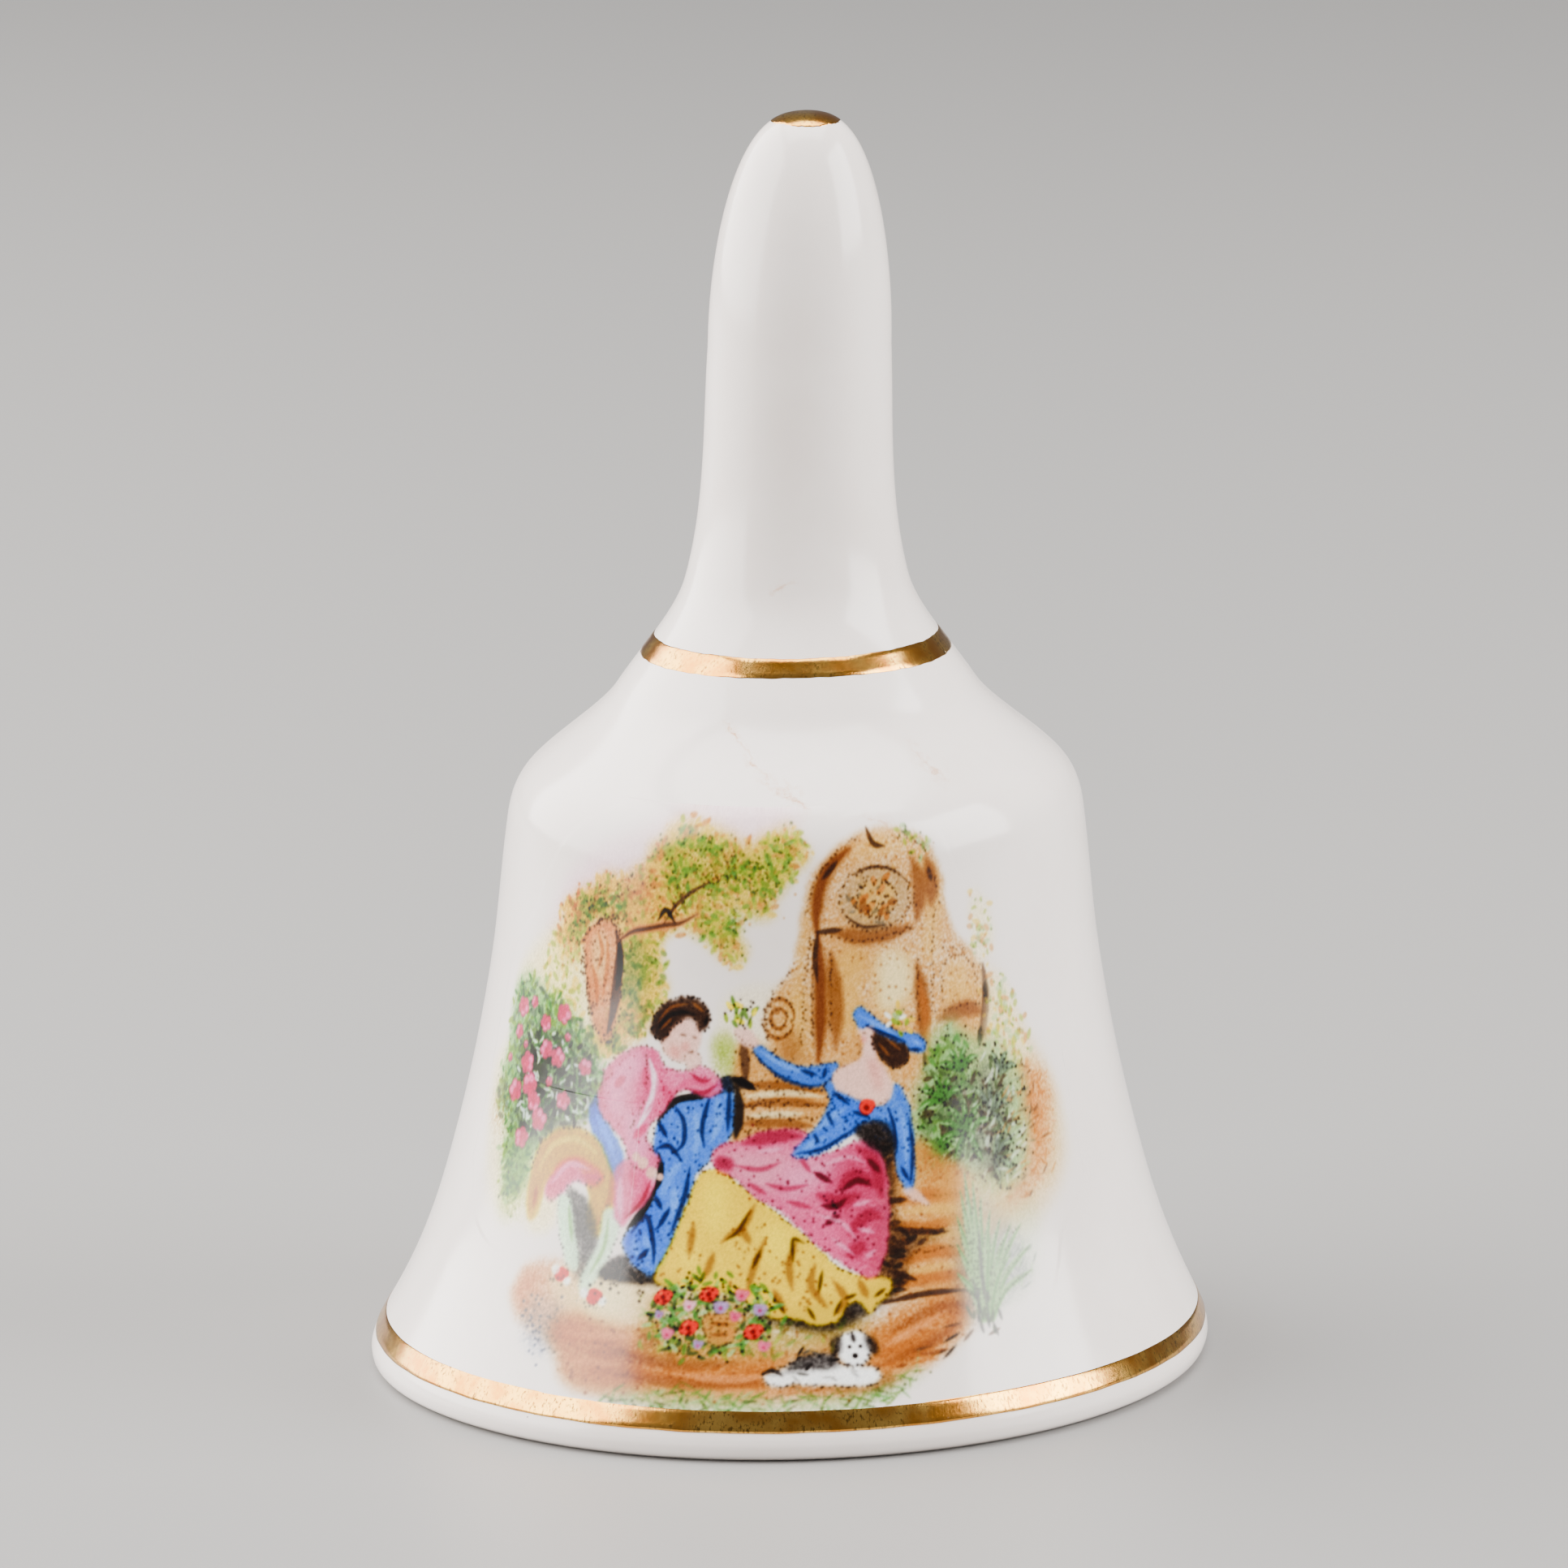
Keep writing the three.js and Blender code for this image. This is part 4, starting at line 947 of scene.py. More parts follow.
        c.dotted([2.3, 21, 3.6, 20.3, 4.6, 19.9, 5.8, 20.2], Ink.bark, 4.5, 0.06, 0.04, 0.75)
        self.strokes([[4.2, 24.1, 4.4, 24.05], [4.0, 23.2, 4.15, 23.15]], 0.1, Ink.bark, 0.7)
        hair = [4.9, 24, 5.6, 24.2, 6.6, 23.6, 7.2, 22.8, 6.9, 22.1, 6.1, 21.9, 5.5, 22.3, 5.1, 22.9,
            4.8, 23.4]
        locks = c.wash(hair, Ink.hair, 0.08, 0.98, 0.15)
        self.strokes([[5.2, 23.4, 5.9, 22.6], [5.6, 23.8, 6.6, 22.9]], 0.16, Ink.rust, 0.6, locks)
        c.dotted(hair, Ink.black, 4.5, 0.08, 0.06, 0.85, True)
        hat = [3.6, 25.2, 4.1, 25.6, 4.8, 25.1, 5.6, 24.5, 6.6, 24, 7.6, 23.8, 8.3, 23.3, 8.2, 22.7,
            7.5, 22.7, 7, 23.2, 6.2, 23.5, 5.4, 23.9, 4.7, 24.5, 4, 24.4]
        crown = c.wash(hat, Ink.blue, 0.08, 0.99, 0.1)
        self.strokes([[4, 25.1, 5, 24.6, 6.4, 23.8], [7.4, 23.4, 8, 23.1]], 0.2, Ink.pale_blue, 0.65,
            crown)
        self.strokes([[4.4, 24.5, 5.6, 23.95, 7, 23.35], [7.2, 22.9, 8, 22.8]], 0.18, Ink.navy, 0.85)
        c.dotted(hat, Ink.navy, 4.5, 0.07, 0.05, 0.8, True)
        flowers = [5.9, 24.7, 6.4, 25.4, 7.3, 25.3, 7.6, 24.6, 7, 24, 6.2, 24.1]
        c.dabs(flowers, (Ink.pale_leaf, Ink.yellow, Ink.white, Ink.lime), 9, 0.45, 0.28, 0.5, 1.5, 0.85)
        c.specks(flowers, Ink.moss, 6, 0.07, 0.75)
        c.discs([4.25, 19.8, 4.5, 19.9], [0.45, 0.3], Ink.red, 0.97, 0.1)
        c.discs([4.25, 19.75], [0.16], Ink.maroon, 0.7, 0.1)
        c.wash([6.3, 14.9, 6.9, 14.9, 7.5, 14.3, 7.9, 13.8, 7.2, 14, 6.6, 14.2], Ink.skin, 0.08, 0.95)
        c.dotted([6.4, 14.6, 7.2, 14.0, 7.9, 13.8], Ink.bark, 4, 0.06, 0.04)
        c.wash([-4.0, 24.6, -3.1, 24.5, -2.4, 23.7, -3.1, 23.4, -3.9, 24], Ink.skin, 0.08, 1.0)
        c.dotted([-4, 24.2, -3.2, 23.6, -2.6, 23.4], Ink.bark, 4, 0.06, 0.04)
        posy = [-4.7, 25.6, -3.9, 26.1, -3, 26.2, -2.6, 25.6, -3, 24.9, -4, 24.8]
        c.dabs(posy, (Ink.yellow, Ink.leaf, Ink.lime, Ink.pale_gold), 9, 0.45, 0.28, 1.2, 1.2, 0.8)
        c.specks(posy, Ink.black, 6, 0.08, 0.75)
        self.strokes([[-3.7, 24.7, -3.5, 25.4], [-3.2, 24.7, -2.9, 25.3]], 0.13, Ink.moss, 0.8)

    def skirts(self) -> None:
        """The lady's pink overskirt and yellow skirt."""
        c = self.canvas
        under = [-5.8, 15.9, -5.1, 16.3, -4.3, 16.3, -3.5, 15.6, -2.5, 14.8, -1.4, 14.1, -0.4, 13.3,
            0.6, 12.4, 1.6, 11.4, 2.4, 10.7, 3.2, 10.3, 4.2, 10.1, 5.2, 9.9, 5, 9.1, 4.3, 8.6, 3.9, 8.1,
            3.3, 8.8, 2.7, 8.6, 2.2, 7.8, 1, 7.6, 0, 8, -1, 8, -2, 8.6, -3.5, 9.4, -5, 9.5, -6.5, 9.6,
            -7.9, 9.9, -7.4, 11.4, -6.8, 13, -6.3, 14.6]
        c.wash([-2.4, 8.2, 1, 7.3, 2.4, 7.4, 4, 8.2, 5.5, 9.4, 4, 9.6, 0, 8.6], Ink.black, 0.2, 0.85, 0.3)
        yellow = c.wash(under, Ink.gold, 0.08, 0.99, 0.15)
        for patch in ([-5.4, 15.6, -4.6, 15.8, -4, 14.4, -4.6, 12.6, -5.4, 13.8], [-1.6, 13.4, -0.4, 12.8,
            -0.6, 11, -1.8, 11.4], [-6.6, 11.4, -5.6, 12.4, -5.8, 10.6]):
            c.wash(patch, Ink.pale_gold, 0.35, 0.7, 0.2, 0.1, yellow)
        self.strokes([[-2.4, 14.4, -3, 13.2, -3.8, 12.6, -4.2, 12.2], [-3.2, 13.2, -2.6, 12.2],
            [-1.8, 12.4, -2.4, 10.6, -2.6, 9.4], [0, 12.3, -0.4, 11, -0.2, 9.6], [1, 11, 0.8, 9.8,
            1.6, 8.6], [-5.9, 13.2, -6, 11.4], [-4.6, 11.6, -5, 10.2], [2, 10, 2.6, 9, 2.2, 8.2],
            [-1.2, 9.6, -0.6, 8.4], [3.4, 10, 3.8, 9]], 0.42, Ink.umber, 0.55, yellow, 0.2)
        self.strokes([[-2.7, 14, -3.3, 12.9, -3.9, 12.4], [0.4, 12.2, -0.2, 12.4, -0.2, 11.2], [1.4, 10.6,
            1.2, 9.4], [-2, 11.8, -2.4, 10.8], [2.4, 8.9, 2, 8.1], [2.6, 9, 3.2, 9.2], [4.2, 9, 4.8, 9.4],
            [-1, 9, -0.6, 8.3], [0.6, 8.6, 1, 7.9]], 0.2, Ink.sepia, 0.75, yellow)
        c.specks([-3, 14, -1, 12.4, 1, 11, 2, 9, -1, 8, -4, 10], Ink.umber, 4, 0.08, 0.7, 0.3, yellow)
        c.specks([-7.4, 10, -6.2, 14.4, -5.6, 12, -5.6, 9.8], Ink.umber, 4, 0.08, 0.6, 0.3, yellow)
        c.dotted(under, Ink.sepia, 4.2, 0.08, 0.06, 0.8, True)
        over = [-5.1, 17, -4.5, 17.8, -3.4, 18, -2.4, 18.5, -1.2, 18.7, 0, 18.7, 0.7, 18.3, 0, 17.6,
            -0.1, 17.1, 1.2, 17.1, 2.5, 17.5, 3.9, 17.9, 4.8, 17.5, 5.3, 16, 5.3, 13.8, 5.1, 12, 4.7, 10.8,
            4.1, 10, 3.2, 10.5, 2.2, 11.2, 1, 12.2, 0, 13.2, -1, 14.1, -2.5, 14.9, -3.6, 15.9, -4.6, 16.2]
        pink = c.wash(over, Ink.rose, 0.08, 0.99, 0.2)
        c.wash([-4.8, 17, -3.6, 17.6, -1.8, 17.4, -0.4, 17.2, -1, 16, -1.6, 15, -3.4, 15.9],
            (0.90, 0.66, 0.72), 0.35, 0.95, 0.2, 0.1, pink)
        c.wash([-0.8, 16.6, 1.6, 17, 3, 17.4, 2, 16, 0.6, 15.2, -0.6, 14.6], Ink.pale_pink, 0.4, 0.75, 0.3,
            0.1, pink)
        c.wash([0.6, 12.9, 1.8, 13.4, 2.6, 12.6, 2.2, 11.6], Ink.pink, 0.3, 0.6, 0.3, 0.1, pink)
        c.wash([2.4, 17.2, 4.6, 17.2, 5.2, 15.4, 5.2, 13, 4.4, 10.4, 3, 11.2, 2.7, 13, 2.1, 15],
            Ink.crimson, 0.5, 0.4, 0.4, 0.1, pink)
        self.strokes([[-3.2, 17.9, -1.4, 18.3, 0.2, 18.3], [3.6, 17.5, 4.6, 16.6, 4.9, 14.6], [2.4, 15.2,
            3.4, 15.9, 4.6, 15.2], [1.2, 14.9, 2.4, 14.5, 3.6, 14.8], [3, 12.6, 4, 13.6, 4.8, 13.4],
            [2.8, 11.4, 3.8, 12], [-4.8, 16.8, -3.8, 16.6]], 0.75, Ink.crimson, 0.72, pink, 0.3)
        self.strokes([[2.6, 15.1, 3.5, 15.6, 4.3, 15.3], [1.4, 14.3, 2.2, 14.2, 2.8, 14.6], [4.2, 16.8,
            4.9, 16], [1.6, 13.2, 2.4, 13.7], [1, 16.2, 2, 15.6]], 0.36, Ink.maroon, 0.8, pink, 0.15)
        self.strokes([[-1.8, 15.6, -0.6, 15.3, 0.6, 15.5], [-3.6, 16.6, -2.2, 16.4, -1, 16.8], [-0.6, 14.6,
            0.8, 14.2], [-2.8, 15.6, -1.8, 15], [0.2, 17, 0.8, 16.2]], 0.3, Ink.crimson, 0.55, pink, 0.15)
        self.strokes([[1.6, 16.6, 3, 17, 4, 16.6], [3.2, 14.2, 4.2, 14.4], [3.4, 12.9, 4.4, 12.6],
            [1.2, 13.8, 2.6, 13.2, 3.4, 12.2], [2, 12.4, 3.2, 11.4], [3.8, 11.2, 4.4, 11.6], [-2.4, 17.4,
            -0.8, 17.6]], 0.26, Ink.pale_pink, 0.6, pink, 0.12)
        c.specks(over, Ink.maroon, 2.2, 0.075, 0.65)
        c.dotted(over, Ink.maroon, 4.2, 0.07, 0.05, 0.75, True)
        c.dotted([1.6, 14.9, 2.2, 14.2, 1.9, 13.6], Ink.black, 6, 0.1, 0.1)

    def basket(self) -> None:
        """The flower basket at the lady's feet."""
        c = self.canvas
        leaves = [-7.9, 8.6, -6.6, 9.9, -4, 10.3, -2, 9.8, -1, 8.6, -1.1, 7, -2.6, 6.2, -5, 5.9, -7.2, 6.4]
        c.dabs(leaves, (Ink.leaf, Ink.moss, Ink.pale_leaf, Ink.fern), 7.5, 0.55, 0.24, 0.8, 1.3, 0.75)
        c.specks(leaves, Ink.black, 5, 0.085, 0.75)
        pot = [-4.8, 8.1, -3.1, 8.1, -3.2, 6.9, -3.9, 6.5, -4.6, 6.9]
        weave = c.wash(pot, Ink.stone, 0.08, 0.97, 0.2)
        self.strokes([[-4.5, 7.7, -3.4, 7.7], [-4.4, 7.1, -3.5, 7.1]], 0.2, Ink.stone_shade, 0.8, weave)
        for u in (-4.4, -4, -3.6):
            c.dotted([(u, 8), (u, 6.8)], Ink.sepia, 5, 0.07, 0.04)
        c.dotted(pot, Ink.sepia, 4.5, 0.08, 0.05, 0.8, True)
        for u, v, r, ink in ((-4, 8.6, .36, Ink.lilac), (-1.9, 8.5, .34, Ink.lilac), (-2.9, 9.3, .34,
            Ink.pink), (-6.7, 7, .3, Ink.pink), (-1.6, 6.5, .28, Ink.pink), (-5.7, 8.6, .3, Ink.pale_pink),
            (-3.2, 8.1, .26, Ink.rose), (-7.3, 8, .22, Ink.lilac), (-5, 6.5, .24, Ink.lilac)):
            c.discs([(u, v), (u + r * .7, v + .1), (u - r * .5, v + .15)], [r, r * .6, r * .6], ink, .9,
                .12)
            c.discs([(u, v - 0.05)], [r * 0.3], Ink.crimson, 0.6, 0.1)
        for u, v in ((-7.2, 9), (-4.7, 9.3), (-5.6, 7.4), (-2.2, 7.3)):
            c.discs([(u, v), (u + 0.25, v + 0.12), (u - 0.22, v - 0.1)], [.42, .28, .28], Ink.red, .97, .1)
            c.discs([(u, v), (u + 0.1, v - 0.25)], [0.14, 0.1], Ink.maroon, 0.75, 0.08)
            c.discs([(u - 0.15, v + 0.18)], [0.1], Ink.peach, 0.7, 0.08)
            c.dotted([(u - .45, v), (u, v - .45), (u + .45, v), (u, v + .45)], Ink.black, 3.4, 0.07, 0.07,
                0.75, True)

    def dog(self) -> None:
        """The little black and white dog, lying down."""
        c = self.canvas
        body = [-1.6, 4.9, -0.6, 5.3, 0.4, 5.9, 1.8, 6, 2.4, 5.4, 3.8, 5.2, 4.3, 4.6, 3.6, 4.2, 1.6, 4.3,
            0, 4.4, -1, 4.3]
        c.wash([-1.6, 4.5, 1, 3.9, 4.6, 4, 4.6, 4.8, 0, 4.8], Ink.umber, 0.2, 0.6, 0.4)
        c.wash(body, Ink.white, 0.1, 1.0, 0.05)
        head = [2.1, 6.6, 2.5, 7.1, 3.1, 7.2, 3.7, 6.9, 3.9, 6.2, 3.6, 5.5, 3, 5.2, 2.4, 5.5, 2.1, 6]
        c.wash(head, Ink.white, 0.08, 1.0, 0.05)
        back = [-0.6, 5.1, 0.2, 5.9, 1, 6.1, 1.9, 6.0, 2.2, 5.4, 1.4, 5.2, 0.6, 5.2]
        c.wash(back, Ink.black, 0.12, 0.8, 0.5)
        c.dabs(back, (Ink.black, Ink.shade), 6, 0.5, 0.16, 0.2, 0.4, 0.8)
        for ear in ([1.8, 6.8, 2.3, 7, 2.3, 6.2, 2, 5.8, 1.8, 6.2], [3.5, 6.9, 4.1, 6.7, 4.2, 6.0,
            3.8, 5.9]):
            c.wash(ear, Ink.black, 0.1, 0.8, 0.4)
        self.strokes([[-1.6, 5, -1.1, 5.2, -0.6, 4.9], [2.9, 7.05, 3.0, 6.6]], 0.22, Ink.black, 0.8)
        c.discs([2.75, 6.35, 3.3, 6.35, 3.02, 5.85], [0.09, 0.09, 0.14], Ink.black, 0.95, 0.05)
        c.dabs(body, (Ink.shade,), 2.2, 0.5, 0.1, -0.2, 0.3, 0.5)
        for path in (body, head):
            c.dotted(path, Ink.black, 5, 0.075, 0.06, 0.85, True)


# ---- Shaders ----


class Value:
    """A number that comes out of a shader node, used in sums as a Python number is."""

    def __init__(self, shader: Shader, socket: bpy.types.NodeSocket) -> None:
        """Wraps one output socket."""
        self.shader = shader
        self.socket = socket

    def _math(self, operation: str, *others: Value | float) -> Value:
        """Adds one Math node on this number and others."""
        return self.shader.math(operation, self, *others)

    def __add__(self, other: Value | float) -> Value:
        """Adds."""
        return self._math("ADD", other)

    __radd__ = __add__

    def __sub__(self, other: Value | float) -> Value:
        """Subtracts."""
        return self._math("SUBTRACT", other)

    def __rsub__(self, other: float) -> Value:
        """Subtracts this number from another."""
        return self.shader.math("SUBTRACT", other, self)

    def __mul__(self, other: Value | float) -> Value:
        """Multiplies."""
        return self._math("MULTIPLY", other)

    __rmul__ = __mul__

    def ramp(self, low: float, high: float) -> Value:
        """Runs smoothly from 0 at low to 1 at high.

        Args:
            low: Where the ramp starts.
            high: Where it ends.

        Returns:
            The ramp.
        """
        node = self.shader.node(
            "ShaderNodeMapRange",
            {"interpolation_type": "SMOOTHSTEP"},
            {"Value": self, "From Min": low, "From Max": high},
        )
        return Value(self.shader, node.outputs["Result"])


class Shader:
    """One material and the nodes that make its finish."""

    def __init__(self, name: str) -> None:
        """Starts a material with a plain principled surface.

        Args:
            name: The material's name.
        """
        self.material = bpy.data.materials.new(name)
        self.material.use_nodes = True
        self.tree = self.material.node_tree
        self.surface = next(n for n in self.tree.nodes if n.type == "BSDF_PRINCIPLED")
        self.place = self.node("ShaderNodeTexCoord").outputs["Object"]

    def node(self, kind: str, settings: dict | None = None, inputs: dict | None = None) -> bpy.types.Node:
        """Adds a node.

        Args:
            kind: Blender's name for the node type.
            settings: Properties to set first.
            inputs: Values, sockets or Values for its inputs, by name or number.

        Returns:
            The node.
        """
        node = self.tree.nodes.new(kind)
        for key, value in (settings or {}).items():
            setattr(node, key, value)
        for key, value in (inputs or {}).items():
            socket = node.inputs[key]
            source = value.socket if isinstance(value, Value) else value
            if isinstance(source, bpy.types.NodeSocket):
                self.tree.links.new(source, socket)
            else:
                socket.default_value = source
        return node

    def math(self, operation: str, *values: Value | float) -> Value:
        """Adds a Math node on up to three numbers."""
        node = self.node("ShaderNodeMath", {"operation": operation}, dict(enumerate(values)))
        return Value(self, node.outputs[0])

    def stretched(self, scale: tuple[float, float, float]) -> bpy.types.NodeSocket:
        """Object coordinates, scaled along each axis."""
        return self.node("ShaderNodeMapping", None, {"Vector": self.place, "Scale": scale}).outputs[0]

    def axes(self) -> tuple[Value, Value, Value]:
        """The object's own three coordinates, in metres."""
        split = self.node("ShaderNodeSeparateXYZ", None, {0: self.place})
        return tuple(Value(self, socket) for socket in split.outputs)

    def noise(self, size: float, detail: float = 2.0, rough: float = 0.5,
              at: bpy.types.NodeSocket | None = None) -> Value:
        """Smooth noise from 0 to 1.

        Args:
            size: Size of a lump, in millimetres.
            detail: How many finer layers it has.
            rough: How strong the finer layers are.
            at: Coordinates, where they aren't the object's own.

        Returns:
            The noise.
        """
        inputs = {"Vector": at or self.place, "Scale": 1 / (size * MM)}
        inputs |= {"Detail": detail, "Roughness": rough}
        return Value(self, self.node("ShaderNodeTexNoise", None, inputs).outputs[0])

    def cells(self, size: float) -> tuple[Value, Value]:
        """Scattered cells: the distance to each one's centre, in cells, and its own random number.

        Args:
            size: Size of a cell, in millimetres.

        Returns:
            The distance and the random number.
        """
        node = self.node("ShaderNodeTexVoronoi", None, {"Vector": self.place, "Scale": 1 / (size * MM)})
        chance = self.node("ShaderNodeSeparateColor", None, {0: node.outputs["Color"]})
        return Value(self, node.outputs["Distance"]), Value(self, chance.outputs[0])

    def mix(self, share: Value | float, first: np.ndarray | bpy.types.NodeSocket,
            second: np.ndarray | bpy.types.NodeSocket) -> bpy.types.NodeSocket:
        """Mixes two colours, the second as share goes to 1.

        Args:
            share: How much of the second shows.
            first: The first colour.
            second: The second colour.

        Returns:
            The mixed colour.
        """
        whole = [c if isinstance(c, bpy.types.NodeSocket) else (*map(float, c), 1.0)
                 for c in (first, second)]
        node = self.node("ShaderNodeMix", {"data_type": "RGBA"}, {0: share, 6: whole[0], 7: whole[1]})
        return node.outputs[2]

    def bump(self, height: Value, depth: float, strength: float = 1.0) -> None:
        """Raises the surface.

        Args:
            height: Height from 0 to 1.
            depth: How deep 1 is, in millimetres.
            strength: How much of it shows.
        """
        inputs = {"Height": height, "Distance": depth * MM, "Strength": strength}
        node = self.node("ShaderNodeBump", None, inputs)
        self.tree.links.new(node.outputs[0], self.surface.inputs["Normal"])

    def set(self, **inputs: object) -> None:
        """Sets the surface's sockets: base_color for Base Color, and so on.

        Args:
            inputs: Numbers, colours, sockets or Values.
        """
        for key, value in inputs.items():
            socket = self.surface.inputs[key.replace("_", " ").title().replace("Ior", "IOR")]
            source = value.socket if isinstance(value, Value) else value
            if isinstance(source, bpy.types.NodeSocket):
                self.tree.links.new(source, socket)
            else:
                socket.default_value = (*source, 1.0) if isinstance(source, tuple) else source


def linear(colour: Colour | np.ndarray) -> np.ndarray:
    """Turns a colour, or many, as seen on a screen into one as light adds up."""
    seen = np.clip(colour, 0, 1)
    return np.where(seen <= 0.04045, seen / 12.92, ((seen + 0.055) / 1.055) ** 2.4)


@dataclass(frozen=True)
class Stain:
    """A thin ochre thread of age crazing on the front, in millimetres.

    Attributes:
        middle: Where its middle is, across and up.
        reach: Half its length across.
        slope: How much it rises as it goes across.
        strength: How strongly it shows.
    """

    middle: tuple[float, float]
    reach: float
    slope: float
    strength: float


@dataclass(frozen=True)
class Porcelain:
    """White porcelain under a clear glaze, with a few kiln specks and age stains."""

    white: Colour = (0.955, 0.918, 0.895)
    shade: Colour = (0.938, 0.897, 0.872)
    speck: Colour = (0.46, 0.36, 0.28)
    stain: Colour = (0.80, 0.52, 0.20)
    roughness: float = 0.15
    stains: tuple[Stain, ...] = (
        Stain((-2.4, 40.0), 1.3, -1.15, 0.75),
        Stain((0.1, 37.8), 1.6, -0.55, 0.65),
        Stain((8.6, 38.6), 1.5, -0.75, 0.50),
        Stain((0.2, 48.6), 1.0, 0.35, 0.45),
        Stain((5.4, 36.2), 1.2, -0.4, 0.35),
    )

    def white_base(self, shader: Shader) -> bpy.types.NodeSocket:
        """The clay's own colour through the glaze, very slightly uneven."""
        drift = shader.noise(9.0, 3.0) * 0.8 + shader.noise(1.2, 2.0) * 0.2
        return shader.mix(drift.ramp(0.35, 0.65), linear(self.white), linear(self.shade))

    def marks(self, shader: Shader, base: bpy.types.NodeSocket) -> bpy.types.NodeSocket:
        """Lays kiln specks and stains over a colour.

        Args:
            shader: The material in the making.
            base: The colour under them.

        Returns:
            The marked colour.
        """
        away, chance = shader.cells(2.6)
        dot = (1 - away.ramp(0.012, 0.035)) * chance.ramp(0.87, 0.90)
        marked = shader.mix(dot * 0.75, base, linear(self.speck))
        across, depth, up = shader.axes()
        wobble = (shader.noise(1.3, 4.0, 0.6) - 0.5) * (2.2 * MM)
        patchy = shader.noise(0.6, 3.0).ramp(0.42, 0.62)
        front = 1 - depth.ramp(-4 * MM, -3 * MM)
        for stain in self.stains:
            x, z = (value * MM for value in stain.middle)
            off = shader.math("ABSOLUTE", (up - z) - (across - x) * stain.slope + wobble)
            near = 1 - shader.math("ABSOLUTE", across - x).ramp(0.5 * stain.reach * MM, stain.reach * MM)
            thread = (1 - off.ramp(0.04 * MM, 0.20 * MM)) * (patchy * 0.7 + 0.3)
            haze = (1 - off.ramp(0.1 * MM, 0.8 * MM)) * patchy * 0.3
            share = shader.math("MAXIMUM", thread, haze) * near * front * stain.strength
            marked = shader.mix(share, marked, linear(self.stain))
        return marked

    def glaze(self, shader: Shader) -> None:
        """The glaze's gloss and its faint waves.

        Args:
            shader: The material in the making.
        """
        waves = shader.noise(5.5, 2.0) * 0.8 + shader.noise(1.1, 2.0) * 0.2
        shader.bump(waves, 0.035, 0.5)
        shader.set(roughness=shader.noise(3.0, 3.0).ramp(0.3, 0.8) * 0.05 + self.roughness)
        shader.set(coat_weight=0.12, coat_roughness=0.08, ior=1.45)

    def build(self) -> bpy.types.Material:
        """Makes the material of the bare shell.

        Returns:
            The material.
        """
        shader = Shader("glazed_porcelain")
        shader.set(base_color=self.marks(shader, self.white_base(shader)))
        self.glaze(shader)
        return shader.material

    def build_print(self, attribute: str, cover: str) -> bpy.types.Material:
        """Makes the material of the printed picture, which lies in the glaze.

        Args:
            attribute: The colour attribute that holds the enamel's colour.
            cover: The attribute that holds how far it covers the white.

        Returns:
            The material.
        """
        shader = Shader("printed_enamel")
        enamel = shader.node("ShaderNodeAttribute", {"attribute_name": attribute}).outputs["Color"]
        share = Value(shader, shader.node("ShaderNodeAttribute", {"attribute_name": cover}).outputs["Fac"])
        base = shader.mix(share, self.white_base(shader), enamel)
        shader.set(base_color=self.marks(shader, base))
        self.glaze(shader)
        return shader.material


@dataclass(frozen=True)
class FiredGold:
    """Gold fired on the glaze: bright, faintly brushed, nicked where hands and cloths wear it."""

    bright: Colour = (0.94, 0.73, 0.36)
    deep: Colour = (0.82, 0.54, 0.21)
    tarnish: Colour = (0.26, 0.14, 0.07)
    porcelain: Colour = (0.90, 0.86, 0.82)
    wear: float = 0.5

    def build(self) -> bpy.types.Material:
        """Makes the material.

        Returns:
            The material.
        """
        shader = Shader("fired_gold")
        grain = shader.noise(0.16, 4.0, 0.6, shader.stretched((1.0, 1.0, 0.35)))
        patch = shader.noise(1.6, 3.0)
        colour = shader.mix(patch.ramp(0.3, 0.7), linear(self.deep), linear(self.bright))
        dark = grain.ramp(0.50, 0.66) * patch.ramp(0.3, 0.6)
        colour = shader.mix(dark * 0.75, colour, linear(self.tarnish))
        away, chance = shader.cells(0.9)
        nick = (1 - away.ramp(0.03, 0.09)) * chance.ramp(0.80, 0.86) * self.wear
        worn = shader.noise(0.3, 5.0, 0.7).ramp(0.70, 0.76) * shader.noise(4.0, 2.0).ramp(0.5, 0.62)
        rub = worn * self.wear
        bare = shader.math("MAXIMUM", nick, rub)
        shader.set(base_color=shader.mix(bare, colour, linear(self.porcelain)))
        shader.set(metallic=1 - bare, roughness=patch * 0.08 + grain * 0.16 + 0.06)
        shader.bump(grain * 0.7 + patch * 0.3, 0.008, 0.8)
        return shader.material


@dataclass(frozen=True)
class DrawnBrass:
    """Brass wire, drawn through a die and dulled with age."""

    bright: Colour = (0.72, 0.55, 0.30)
    dull: Colour = (0.42, 0.30, 0.16)

    def build(self) -> bpy.types.Material:
        """Makes the material.

        Returns:
            The material.
        """
        shader = Shader("drawn_brass")
        draw = shader.noise(0.12, 4.0, 0.6, shader.stretched((1.0, 1.0, 0.12)))
        spots = shader.noise(0.8, 4.0, 0.6)
        dull = draw.ramp(0.35, 0.7) * 0.5 + spots.ramp(0.5, 0.7) * 0.5
        shader.set(base_color=shader.mix(dull, linear(self.bright), linear(self.dull)))
        shader.set(metallic=1.0, roughness=dull * 0.3 + 0.24)
        shader.bump(draw, 0.01, 0.6)
        return shader.material


